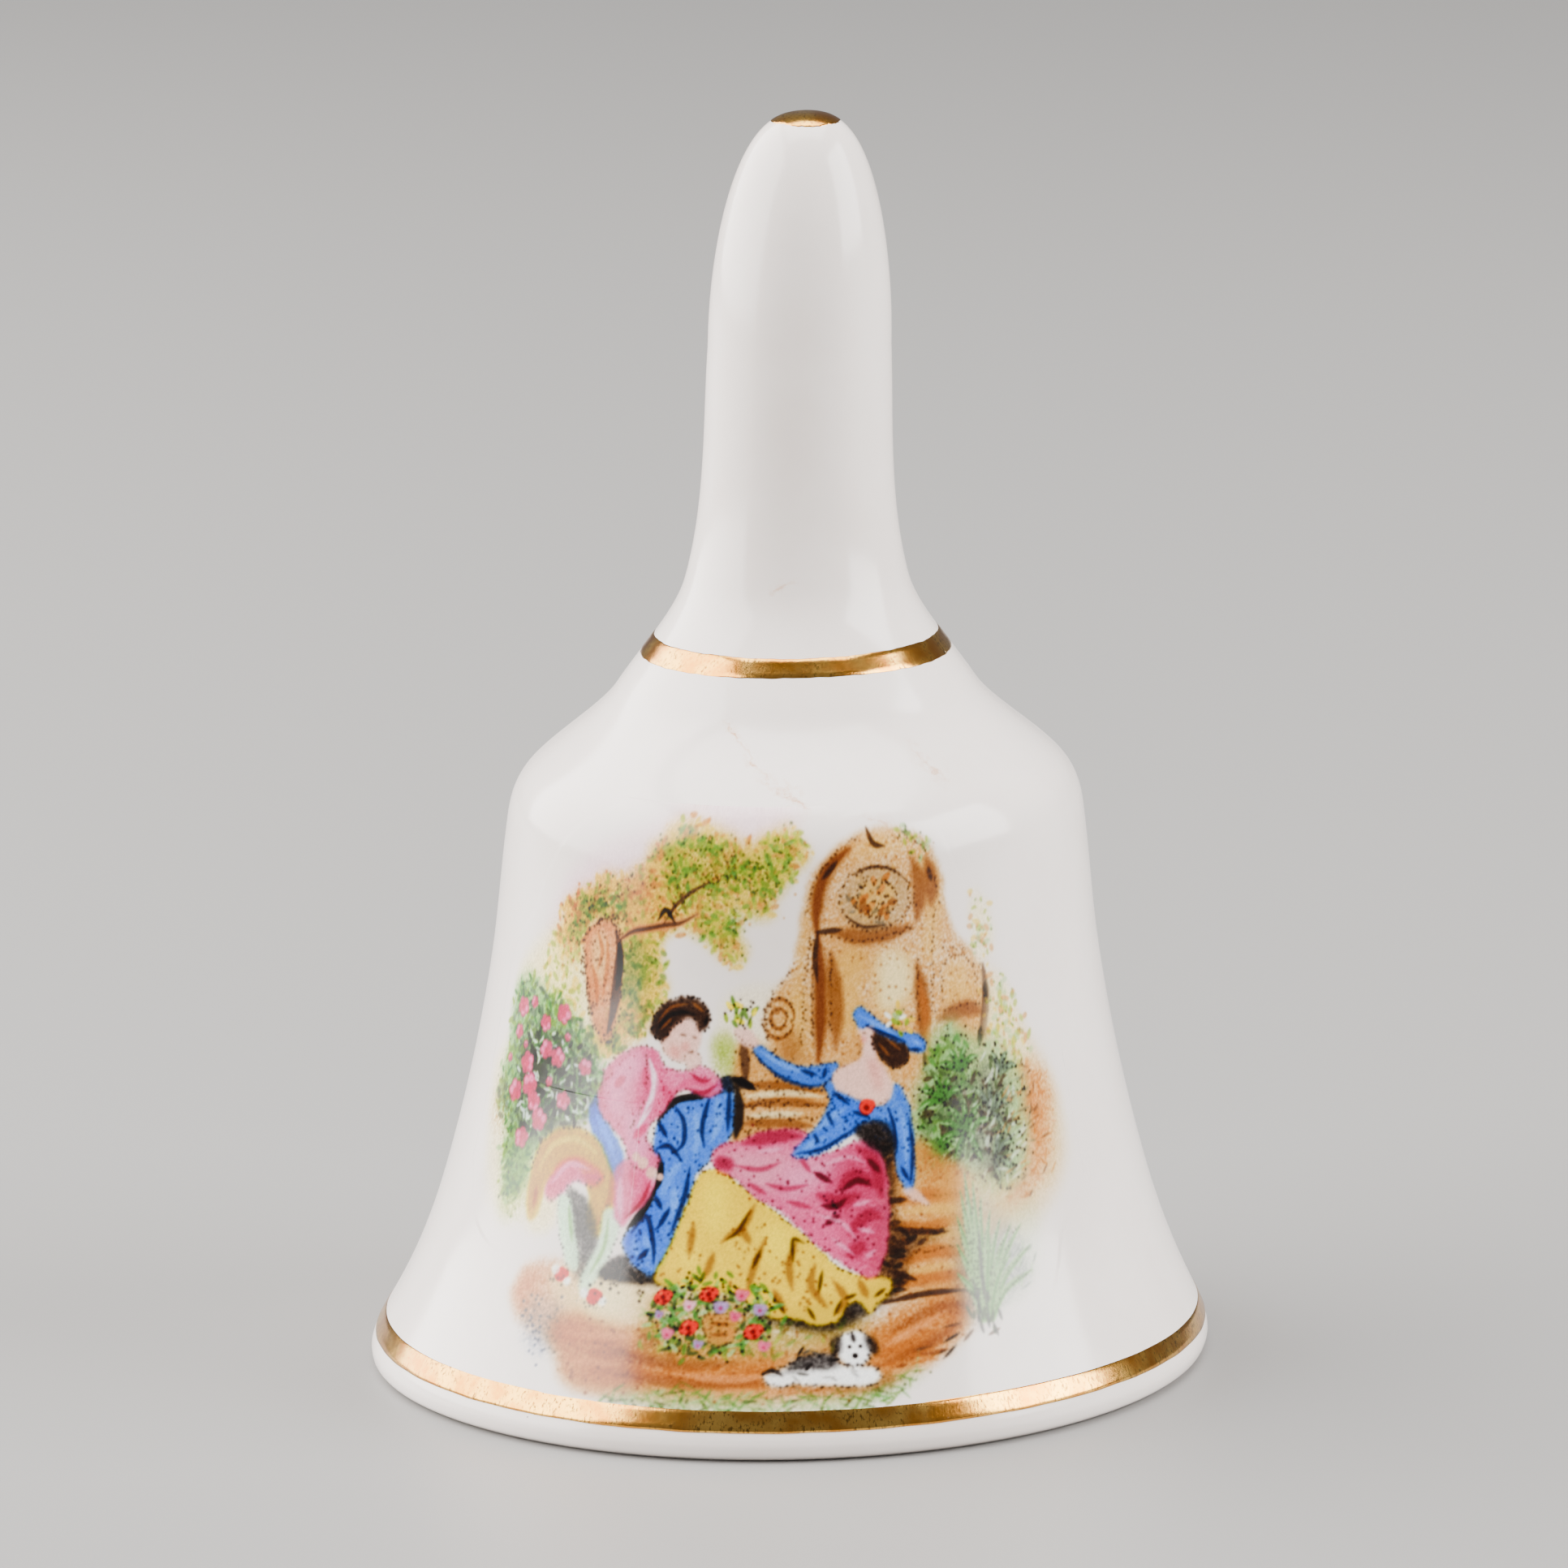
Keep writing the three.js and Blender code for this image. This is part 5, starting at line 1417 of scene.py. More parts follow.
@dataclass(frozen=True)
class Cement:
    """Grey potter's cement, sandy and matt."""

    light: Colour = (0.70, 0.67, 0.61)
    dark: Colour = (0.47, 0.44, 0.39)

    def build(self) -> bpy.types.Material:
        """Makes the material.

        Returns:
            The material.
        """
        shader = Shader("potters_cement")
        sand = shader.noise(0.18, 5.0, 0.7)
        lumps = shader.noise(1.4, 3.0)
        shader.set(base_color=shader.mix(sand * 0.6 + lumps * 0.4, linear(self.dark), linear(self.light)))
        shader.set(roughness=0.92)
        shader.bump(sand * 0.6 + lumps * 0.4, 0.15, 0.9)
        return shader.material


@dataclass(frozen=True)
class TurnedCeramic:
    """An unpainted ceramic bead with a soft sheen, scuffed where it strikes."""

    pale: Colour = (0.87, 0.83, 0.76)
    warm: Colour = (0.76, 0.69, 0.59)
    scuff: Colour = (0.52, 0.46, 0.39)

    def build(self) -> bpy.types.Material:
        """Makes the material.

        Returns:
            The material.
        """
        shader = Shader("turned_ceramic")
        rings = shader.noise(0.5, 3.0, 0.5, shader.stretched((0.1, 0.1, 1.0)))
        cloud = shader.noise(2.2, 4.0)
        colour = shader.mix(rings * 0.5 + cloud * 0.5, linear(self.pale), linear(self.warm))
        rub = shader.noise(0.6, 5.0, 0.7).ramp(0.6, 0.72) * cloud.ramp(0.45, 0.6)
        shader.set(base_color=shader.mix(rub * 0.6, colour, linear(self.scuff)))
        shader.set(roughness=rub * 0.3 + 0.3)
        shader.bump(rings * 0.6 + rub * 0.4, 0.02, 0.6)
        return shader.material


# ---- Meshes ----


def add_mesh(name: str, points: np.ndarray, faces: list, material: bpy.types.Material) -> bpy.types.Object:
    """Makes a smooth-shaded object.

    Args:
        name: The piece's name.
        points: Corners in millimetres, one a row.
        faces: Lists of corner numbers.
        material: The piece's finish.

    Returns:
        The object, at the origin.
    """
    mesh = bpy.data.meshes.new(name)
    mesh.from_pydata((points * MM).tolist(), [], faces)
    mesh.polygons.foreach_set("use_smooth", [True] * len(mesh.polygons))
    mesh.materials.append(material)
    mesh.validate()
    piece = bpy.data.objects.new(name, mesh)
    bpy.context.scene.collection.objects.link(piece)
    return piece


def ring_faces(rings: int, around: int, closed: bool) -> list:
    """Faces of a skin of rings, each with the same number of corners; closed joins last ring to first.

    Args:
        rings: How many rings there are.
        around: How many corners each ring has.
        closed: Whether the last ring joins the first.

    Returns:
        The faces.
    """
    faces = []
    for i in range(rings if closed else rings - 1):
        low, high = i * around, ((i + 1) % rings) * around
        for j in range(around):
            k = (j + 1) % around
            faces.append((low + j, high + j, high + k, low + k))
    return faces


def capped(rings: int, around: int) -> list:
    """Faces of a skin of rings closed by one extra corner before the first and one after the last.

    Args:
        rings: How many rings there are.
        around: How many corners each ring has.

    Returns:
        The faces.
    """
    first, last = rings * around, rings * around + 1
    faces = ring_faces(rings, around, False)
    for j in range(around):
        k = (j + 1) % around
        faces.append((first, j, k))
        end = (rings - 1) * around
        faces.append((last, end + k, end + j))
    return faces


def ride(piece: bpy.types.Object, body: Body, slot: Slot, *nodes: str) -> None:
    """Puts a finished piece on a body and hides the nodes it stands for.

    Args:
        piece: The finished piece.
        body: The body it rides on.
        slot: Its material slot; not used.
        nodes: The frame nodes it stands for.
    """
    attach(piece, body.value)
    if nodes:
        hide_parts(*nodes)
    LOG.info("%s rides on %s: %d faces", piece.name, body.value, len(piece.data.polygons))


# ---- Shape of the bell ----


@dataclass(frozen=True)
class Station:
    """A height on the outline, the radius there, and how steeply the radius changes."""

    height: float
    radius: float
    slope: float


@dataclass
class BellForm:
    """The bell's outline and the small unevenness of a hand-finished casting, in millimetres."""

    lip_height: float = 1.85
    line_height: float = 1.0
    wall: float = 2.2
    foot_inset: float = 0.95
    foot_width: float = 1.1
    dome_rise: float = 6.3
    hollow_radius: float = 3.0
    hollow_depth: float = 18.0
    tip_height_power: float = 1.919
    tip_radius_power: float = 2.713
    flare_share: float = 0.9
    body_lean: float = 0.0205
    foot_shift: float = 0.42
    foot_fade: float = 5.0
    tip_lean: float = 0.51
    tip_lean_from: float = 45.0
    stations: tuple[Station, ...] = (
        Station(2.85, 24.82, -0.536),
        Station(11.136, 21.391, -0.298),
        Station(24.884, 18.351, -0.163),
        Station(33.2, 17.35, -0.127),
        Station(36.92, 15.81, -1.009),
        Station(41.48, 10.80, -0.658),
        Station(48.0, 6.63, -0.267),
        Station(62.0, 5.47, -0.057),
    )
    height: float = field(init=False)
    lip_radius: float = field(init=False)

    def __post_init__(self) -> None:
        """Takes the overall sizes from the frame."""
        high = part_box("bell_shell")[1]
        self.height = high.z / MM
        self.lip_radius = high.x / MM

    def radius(self, height: np.ndarray) -> np.ndarray:
        """Radius of the outside above the rim line, at each height.

        Args:
            height: Heights above the table.

        Returns:
            The radii.
        """
        height = np.asarray(height, float)
        found = np.full(height.shape, self.stations[0].radius)
        for low, high in zip(self.stations, self.stations[1:]):
            rise = high.height - low.height
            t = (height - low.height) / rise
            value = ((1 + 2 * t) * (1 - t) ** 2 * low.radius + t * (1 - t) ** 2 * rise * low.slope
                     + t * t * (3 - 2 * t) * high.radius + t * t * (t - 1) * rise * high.slope)
            found = np.where((t >= 0) & (t <= 1), value, found)
        top = self.stations[-1]
        share = np.clip((height - top.height) / (self.height - top.height), 0, 1)
        tip = top.radius * (1 - share**self.tip_height_power) ** (1 / self.tip_radius_power)
        found = np.where(height > top.height, tip, found)
        below = self.stations[0]
        flare = below.radius + below.slope * (height - below.height) * self.flare_share
        return np.where(height < below.height, flare, found)

    def normal(self, height: np.ndarray) -> tuple[np.ndarray, np.ndarray]:
        """The outside's outward direction, outwards and upwards, at each height.

        Args:
            height: Heights above the table.

        Returns:
            Its outward and its upward part.
        """
        step = 0.01
        slope = (self.radius(height + step) - self.radius(height - step)) / (2 * step)
        long = np.sqrt(1 + slope**2)
        return 1 / long, -slope / long

    def lean(self, height: np.ndarray) -> np.ndarray:
        """How far the body has slumped to the right at each height.

        Args:
            height: Heights above the table.

        Returns:
            The shifts.
        """
        above = np.clip((height - self.tip_lean_from) / (self.height - self.tip_lean_from), 0, None)
        foot = self.foot_shift * np.exp(-height / self.foot_fade)
        return self.body_lean * height + self.tip_lean * above**2 - foot

    def unround(self, angle: np.ndarray, height: np.ndarray) -> np.ndarray:
        """How far a hand-finished wall strays from round.

        Args:
            angle: Angles from the front.
            height: Heights above the table.

        Returns:
            The distances.
        """
        fade = np.clip(height / 6, 0, 1) * np.clip((self.height - height) / 12, 0, 1)
        wave = 0.05 * np.cos(2 * angle + 0.07 * height) + 0.03 * np.cos(3 * angle + 1.3 - 0.11 * height)
        return fade * (wave + 0.02 * np.sin(0.35 * height + 2 * angle))

    def outside(self, angle: np.ndarray, height: np.ndarray, lift: np.ndarray | float = 0.0) -> np.ndarray:
        """Points on the outside.

        Args:
            angle: Angle from the front, growing to the right, in radians.
            height: Height above the table.
            lift: Distance out from the glaze.

        Returns:
            The points, in millimetres, one a row.
        """
        out, up = self.normal(height)
        radius = self.radius(height) + self.unround(angle, height) + lift * out
        level = height + lift * up
        x = radius * np.sin(angle) + self.lean(height)
        return np.stack([x, -radius * np.cos(angle), level], -1)


@dataclass
class Shell:
    """The porcelain casting: skirt, shoulder and handle in one piece, hollow up into the handle."""

    form: BellForm
    around: int = 256

    def outer_profile(self) -> list[tuple[float, float]]:
        """Radius and height from just under the tip down to the top of the rim line.

        Returns:
            The profile.
        """
        form = self.form
        top = form.stations[-1].height
        share = np.sin(np.linspace(0.985, 0.0, 50) * math.pi / 2)
        heights = list(top + share * (form.height - top))
        heights += list(np.linspace(top, form.stations[0].height, 170)[1:])
        return [(float(form.radius(np.array(h))), float(h)) for h in heights]

    def lip_profile(self) -> list[tuple[float, float]]:
        """Radius and height from the rim line round the rolled lip to the inside.

        Returns:
            The profile.
        """
        form = self.form
        line = form.lip_height + form.line_height
        foot = form.lip_radius - form.foot_inset
        corners = [
            (form.stations[0].radius + 0.02, line - 0.06),
            (form.stations[0].radius + 0.13, line - 0.30),
            (form.lip_radius - 0.24, form.lip_height + 0.18),
            (form.lip_radius - 0.16, form.lip_height - 0.05),
            (form.lip_radius - 0.03, form.lip_height * 0.72),
            (form.lip_radius, form.lip_height * 0.48),
            (form.lip_radius - 0.16, form.lip_height * 0.20),
            (foot + 0.36, 0.09),
            (foot, 0.0),
            (foot - form.foot_width, 0.0),
            (foot - form.foot_width - 0.42, 0.22),
            (foot - form.foot_width - 0.70, 0.9),
            (form.stations[0].radius - form.wall - 0.02, line - 0.4),
        ]
        return [(radius, max(height, 0.0)) for radius, height in smooth_path(corners, False, 5).tolist()]

    def inner_profile(self) -> list[tuple[float, float]]:
        """Radius and height up the inside, over the dome and up the handle's hollow.

        Returns:
            The profile.
        """
        form = self.form
        body = form.stations[3]
        heights = np.linspace(form.stations[0].height, body.height, 40)
        inside = [(float(form.radius(np.array(h))) - form.wall, float(h)) for h in heights]
        ceiling = body.height + form.dome_rise
        turns = np.linspace(0, math.pi / 2, 26)[1:]
        wide = body.radius - form.wall
        dome = [(wide * math.cos(a), body.height + form.dome_rise * math.sin(a)) for a in turns]
        dome = [p for p in dome if p[0] > form.hollow_radius + 0.3]
        mouth = [(form.hollow_radius + 0.12, ceiling - 0.02), (form.hollow_radius, ceiling + 0.12)]
        top = ceiling + form.hollow_depth - form.hollow_radius
        rise = [(form.hollow_radius, float(h)) for h in np.linspace(ceiling + 1, top, 8)]
        cap = [(form.hollow_radius * math.cos(a), top + form.hollow_radius * math.sin(a))
               for a in np.linspace(0, math.pi / 2, 10)[1:-1]]
        return inside + dome + mouth + rise + cap

    def build(self, material: bpy.types.Material) -> bpy.types.Object:
        """Makes the shell's mesh, closed at the tip and at the top of the hollow.

        Args:
            material: The porcelain.

        Returns:
            The shell.
        """
        form = self.form
        outer = self.outer_profile()
        inner = self.inner_profile()
        profile = np.array(outer + self.lip_profile() + inner)
        hollow_top = form.stations[3].height + form.dome_rise + form.hollow_depth
        angle = np.linspace(0, 2 * math.pi, self.around, endpoint=False)[None, :]
        radius, height = profile[:, :1], profile[:, 1:]
        inside = (np.arange(len(profile)) >= len(profile) - len(inner))[:, None]
        fade = np.where(inside, 1 - np.clip((height - 18) / 18, 0, 1), 1.0)
        wide = radius + form.unround(angle, height) * fade
        x = wide * np.sin(angle) + form.lean(height) * fade
        points = np.stack([x, -wide * np.cos(angle), np.broadcast_to(height, x.shape)], -1).reshape(-1, 3)
        tip = (float(form.lean(np.array(form.height))), 0.0, form.height)
        points = np.vstack([points, [tip], [(0.0, 0.0, hollow_top)]])
        faces = capped(len(profile), self.around)
        return add_mesh("porcelain_shell", points, faces, material)


@dataclass
class GoldLine:
    """A hand-laid gold line round the bell, a hair proud of the glaze, with an unsteady edge."""

    form: BellForm
    name: str
    low: float
    high: float
    seed: int
    waver: float = 0.024
    lift: float = 0.035
    around: int = 900
    across: int = 12

    def edge(self, random: np.random.Generator, angle: np.ndarray) -> np.ndarray:
        """An unsteady brush edge round the bell, in millimetres off its mean.

        Args:
            random: Where the chances come from.
            angle: Angles round the bell.

        Returns:
            The edge's height at each angle.
        """
        waves = np.zeros_like(angle)
        for count in (1, 2, 3, 5, 9, 17, 31, 53):
            waves += random.normal() * np.cos(count * angle + random.uniform(0, 2 * math.pi)) / count**0.45
        return self.waver * waves

    def build(self, material: bpy.types.Material) -> bpy.types.Object:
        """Makes the line as a thin closed ring.

        Args:
            material: The gold.

        Returns:
            The line.
        """
        random = np.random.default_rng(self.seed)
        angle = np.linspace(0, 2 * math.pi, self.around, endpoint=False)
        low = self.low + self.edge(random, angle)
        high = self.high + self.edge(random, angle)
        share = np.linspace(0, 1, self.across)
        rise = self.lift * np.clip(np.minimum(share, 1 - share) * 9 - 0.35, -0.4, 1)
        top = [(high + (low - high) * s, r) for s, r in zip(share, rise)]
        under = [(high + (low - high) * s, -2 * self.lift) for s in share[::-1]]
        rings = [self.form.outside(angle, height, lift) for height, lift in top + under]
        points = np.concatenate(rings)
        return add_mesh(self.name, points, ring_faces(len(rings), self.around, True), material)


@dataclass
class GoldTip:
    """The gilded tip of the handle, with an unsteady lower edge."""

    form: BellForm
    foot: float = 75.45
    seed: int = 5
    waver: float = 0.05
    lift: float = 0.03
    around: int = 240
    across: int = 28

    def build(self, material: bpy.types.Material) -> bpy.types.Object:
        """Makes the tip as a thin closed cap.

        Args:
            material: The gold.

        Returns:
            The tip.
        """
        form = self.form
        random = np.random.default_rng(self.seed)
        angle = np.linspace(0, 2 * math.pi, self.around, endpoint=False)
        edge = self.foot + GoldLine(form, "", 0, 0, 0, self.waver).edge(random, angle)
        rings = []
        for share in np.linspace(0.98, 0, self.across):
            height = edge + (form.height - edge) * share
            rings.append(form.outside(angle, height, self.lift * min(1, share * 12 - 0.3)))
        for share in np.linspace(0, 0.97, self.across // 2):
            rings.append(form.outside(angle, edge + (form.height - edge) * share, -2 * self.lift))
        lean = float(form.lean(np.array(form.height)))
        ends = [(lean, 0, form.height + self.lift), (lean, 0, form.height - 2 * self.lift)]
        points = np.vstack([np.concatenate(rings), ends])
        return add_mesh("gold_tip", points, capped(len(rings), self.around), material)


# ---- Cement, wires and bead ----


@dataclass
class WireSweep:
    """Round wire along a path: a node tree with its sizes as named inputs."""

    sides: int = 32

    def tree(self, material: bpy.types.Material) -> bpy.types.NodeTree:
        """Builds the node tree: path to curve, circle along it, finish.

        Args:
            material: The wire's finish.

        Returns:
            The tree.
        """
        tree = bpy.data.node_groups.new("wire_along_path", "GeometryNodeTree")
        tree.interface.new_socket("Path", in_out="INPUT", socket_type="NodeSocketGeometry")
        tree.interface.new_socket("Wire radius", in_out="INPUT", socket_type="NodeSocketFloat")
        tree.interface.new_socket("Wire", in_out="OUTPUT", socket_type="NodeSocketGeometry")
        start, end = tree.nodes.new("NodeGroupInput"), tree.nodes.new("NodeGroupOutput")
        curve = tree.nodes.new("GeometryNodeMeshToCurve")
        circle = tree.nodes.new("GeometryNodeCurvePrimitiveCircle")
        circle.inputs["Resolution"].default_value = self.sides
        sweep = tree.nodes.new("GeometryNodeCurveToMesh")
        sweep.inputs["Fill Caps"].default_value = True
        smooth = tree.nodes.new("GeometryNodeSetShadeSmooth")
        real = tree.nodes.new("GeometryNodeRealizeInstances")
        dress = tree.nodes.new("GeometryNodeSetMaterial")
        dress.inputs["Material"].default_value = material
        link = tree.links.new
        link(start.outputs["Path"], curve.inputs["Mesh"])
        link(start.outputs["Wire radius"], circle.inputs["Radius"])
        link(curve.outputs[0], sweep.inputs["Curve"])
        link(circle.outputs["Curve"], sweep.inputs["Profile Curve"])
        link(sweep.outputs[0], smooth.inputs[0])
        link(smooth.outputs[0], real.inputs[0])
        link(real.outputs[0], dress.inputs["Geometry"])
        link(dress.outputs[0], end.inputs[0])
        return tree

    def build(self, name: str, path: np.ndarray, closed: bool, radius: float,
              material: bpy.types.Material) -> bpy.types.Object:
        """Makes one wire.

        Args:
            name: The piece's name.
            path: Points of its centreline, in millimetres.
            closed: Whether the wire is a loop.
            radius: The wire's radius, in millimetres.
            material: The wire's finish.

        Returns:
            The wire as a plain mesh object.
        """
        count = len(path)
        edges = [(i, (i + 1) % count) for i in range(count if closed else count - 1)]
        line = bpy.data.meshes.new(name + "_path")
        line.from_pydata((path * MM).tolist(), edges, [])
        guide = bpy.data.objects.new(name + "_path", line)
        bpy.context.scene.collection.objects.link(guide)
        tree = self.tree(material)
        modifier = guide.modifiers.new("wire", "NODES")
        modifier.node_group = tree
        sizes = {i.name: i.identifier for i in tree.interface.items_tree if i.in_out == "INPUT"}
        modifier[sizes["Wire radius"]] = radius * MM
        graph = bpy.context.evaluated_depsgraph_get()
        mesh = bpy.data.meshes.new_from_object(guide.evaluated_get(graph))
        bpy.data.objects.remove(guide)
        mesh.name = name
        wire = bpy.data.objects.new(name, mesh)
        bpy.context.scene.collection.objects.link(wire)
        return wire


def arc(centre: float, radius: float, start: float, stop: float, count: int,
        plane: Plane = Plane.FACING) -> np.ndarray:
    """Points on an arc about a height on the bell's axis.

    Args:
        centre: Height of the arc's centre, in millimetres.
        radius: The arc's radius.
        start: First angle from across, in degrees.
        stop: Last angle.
        count: How many points.
        plane: The plane it lies in.

    Returns:
        The points, one a row.
    """
    turn = np.radians(np.linspace(start, stop, count))
    side, level, flat = radius * np.cos(turn), centre + radius * np.sin(turn), np.zeros(count)
    return np.stack([side, flat, level] if plane is Plane.FACING else [flat, side, level], 1)


def joined(first: bpy.types.Object, *others: bpy.types.Object) -> bpy.types.Object:
    """Unites closed solids into the first one.

    Args:
        first: The solid that is kept.
        others: The solids that it takes in.

    Returns:
        The first solid.
    """
    for other in others:
        cut = first.modifiers.new("unite", "BOOLEAN")
        cut.operation, cut.solver, cut.object = "UNION", "EXACT", other
        graph = bpy.context.evaluated_depsgraph_get()
        mesh = bpy.data.meshes.new_from_object(first.evaluated_get(graph))
        first.modifiers.clear()
        first.data = mesh
        bpy.data.objects.remove(other)
    first.data.polygons.foreach_set("use_smooth", [True] * len(first.data.polygons))
    first.data.name = first.name
    return first


@dataclass
class Clapper:
    """Everything that hangs in the bell. Its sizes come from the frame."""

    brass: bpy.types.Material
    sweep: WireSweep = field(default_factory=WireSweep)
    ring_share: float = 0.78
    crimp_gap: float = 0.35
    crimp_length: float = 1.2
    bore_gap: float = 0.3
    worn_edge: float = 0.35
    wire: float = field(init=False)
    bend: float = field(init=False)
    link_pivot: float = field(init=False)
    rod_pivot: float = field(init=False)

    def __post_init__(self) -> None:
        """Reads the wire's size and the pivots' heights off the frame."""
        low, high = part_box("crown_staple")
        self.wire = (high.y - low.y) / 2 / MM
        self.bend = high.x / MM - self.wire
        self.link_pivot = low.z / MM + self.wire
        self.rod_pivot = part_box("hanger_link")[0].z / MM + self.wire

    def staple(self) -> bpy.types.Object:
        """The wire staple, its legs set in the cement.

        Returns:
            The staple.
        """
        centre = self.link_pivot + self.bend
        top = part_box("crown_staple")[1].z / MM
        bow = arc(centre, self.bend, 180, 360, 33)
        path = np.vstack([[(-self.bend, 0, top)], bow, [(self.bend, 0, top)]])
        return self.sweep.build("staple_wire", path, False, self.wire, self.brass)

    def link(self) -> bpy.types.Object:
        """The long link between staple and rod.

        Returns:
            The link.
        """
        low = self.rod_pivot + self.bend
        upper = arc(self.link_pivot, self.bend, 0, 180, 33, Plane.SIDEWAYS)
        lower = arc(low, self.bend, 180, 360, 33, Plane.SIDEWAYS)
        return self.sweep.build("hanging_link", np.vstack([upper, lower]), True, self.wire, self.brass)

    def rod(self) -> bpy.types.Object:
        """The rod: an eye, a straight stem with a crimp, and a ring at the foot.

        Returns:
            The rod.
        """
        ring = self.bend * self.ring_share
        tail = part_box("clapper_rod")[0].z / MM + ring + self.wire
        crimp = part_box("clapper_bead")[1].z / MM + self.crimp_gap
        eye, foot = (self.sweep.build(name, arc(centre, radius, 0, 352.5, 48), True, self.wire, self.brass)
                     for name, centre, radius in (("clapper_wire", self.rod_pivot, self.bend),
                                                  ("foot_ring", tail, ring)))
        stem_low, stem_high = tail + ring, self.rod_pivot - self.bend
        swell = [(0.0, 0.0), (0.14, 0.30), (0.26, 0.42), (0.5, 0.45), (0.74, 0.42), (0.86, 0.30),
                 (1.0, 0.0)]
        bulge = [(self.wire + r, crimp + self.crimp_length * h) for h, r in swell]
        profile = np.array([(self.wire, stem_high), *bulge[::-1], (self.wire, stem_low)])
        return joined(eye, turned("stem", profile, 48, self.brass), foot)

    def bead(self, material: bpy.types.Material) -> bpy.types.Object:
        """The bored bead, its bore's edges rounded by wear.

        Args:
            material: The bead's finish.

        Returns:
            The bead.
        """
        low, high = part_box("clapper_bead")
        centre, radius = (low.z + high.z) / 2 / MM, high.x / MM
        bore = self.wire + self.bore_gap
        edge = math.degrees(math.asin((bore + self.worn_edge) / radius))
        turns = np.radians(np.linspace(90 - edge, -90 + edge, 60))
        ball = np.stack([radius * np.cos(turns), centre + radius * np.sin(turns)], 1)
        half = math.sqrt(radius**2 - bore**2)
        worn = ((0.1, 0.05), (0.0, 0.3))
        low_end = [(bore + out, centre - half + up) for out, up in worn]
        high_end = [(bore + out, centre + half - up) for out, up in worn[::-1]]
        return turned("clapper_ball", np.vstack([ball, low_end, high_end]), 96, material, True)


def turned(name: str, profile: np.ndarray, around: int, material: bpy.types.Material,
           bored: bool = False) -> bpy.types.Object:
    """A solid of revolution about the bell's axis.

    Args:
        name: The piece's name.
        profile: Radius and height, top first and down the outside, and up the bore where there is one.
        around: How many corners each ring has.
        material: The piece's finish.
        bored: Whether the profile closes on itself round a bore.

    Returns:
        The solid.
    """
    angle = np.linspace(0, 2 * math.pi, around, endpoint=False)[None, :]
    radius, height = profile[:, :1], profile[:, 1:]
    points = np.stack([radius * np.sin(angle), -radius * np.cos(angle), height + 0 * angle], -1)
    points = points.reshape(-1, 3)
    if bored:
        return add_mesh(name, points, ring_faces(len(profile), around, True), material)
    ends = [(0, 0, profile[0, 1]), (0, 0, profile[-1, 1])]
    return add_mesh(name, np.vstack([points, ends]), capped(len(profile), around), material)


@dataclass
class CementPlug:
    """Cement that fills the mouth of the handle's hollow and slumps round the staple's legs."""

    form: BellForm
    around: int = 96
    seed: int = 3

    def build(self, material: bpy.types.Material) -> bpy.types.Object:
        """Makes the plug, lumpy where it shows.

        Args:
            material: The cement.

        Returns:
            The plug.
        """
        low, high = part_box("cement_plug")
        collar, foot, top = high.x / MM, low.z / MM, high.z / MM
        neck = self.form.hollow_radius - 0.15
        corners = [(neck, top), (neck, top - 6), (neck, foot + 1.7), (neck + 0.5, foot + 1.35),
                   (collar - 0.15, foot + 1.2), (collar, foot + 0.95), (collar * 0.93, foot + 0.5),
                   (collar * 0.75, foot + 0.12), (collar * 0.45, foot), (collar * 0.12, foot + 0.05)]
        profile = smooth_path(corners, False, 6)
        random = np.random.default_rng(self.seed)
        angle = np.linspace(0, 2 * math.pi, self.around, endpoint=False)[None, :]
        height = profile[:, 1:]
        shown = np.clip((foot + 1.3 - height) / 0.6, 0, 1)
        waves = sum(random.normal() * np.cos(n * angle + 6 * random.random() + 2 * height) / n
                    for n in range(2, 9))
        radius = profile[:, :1] * (1 + shown * 0.035 * waves)
        level = height + shown * 0.06 * waves * (radius / collar)
        points = np.stack([radius * np.sin(angle), -radius * np.cos(angle), level], -1).reshape(-1, 3)
        ends = [(0, 0, top), (0, 0, foot + 0.06)]
        faces = capped(len(profile), self.around)
        return add_mesh("cement_seat", np.vstack([points, ends]), faces, material)


# ---- Printed picture on the bell ----


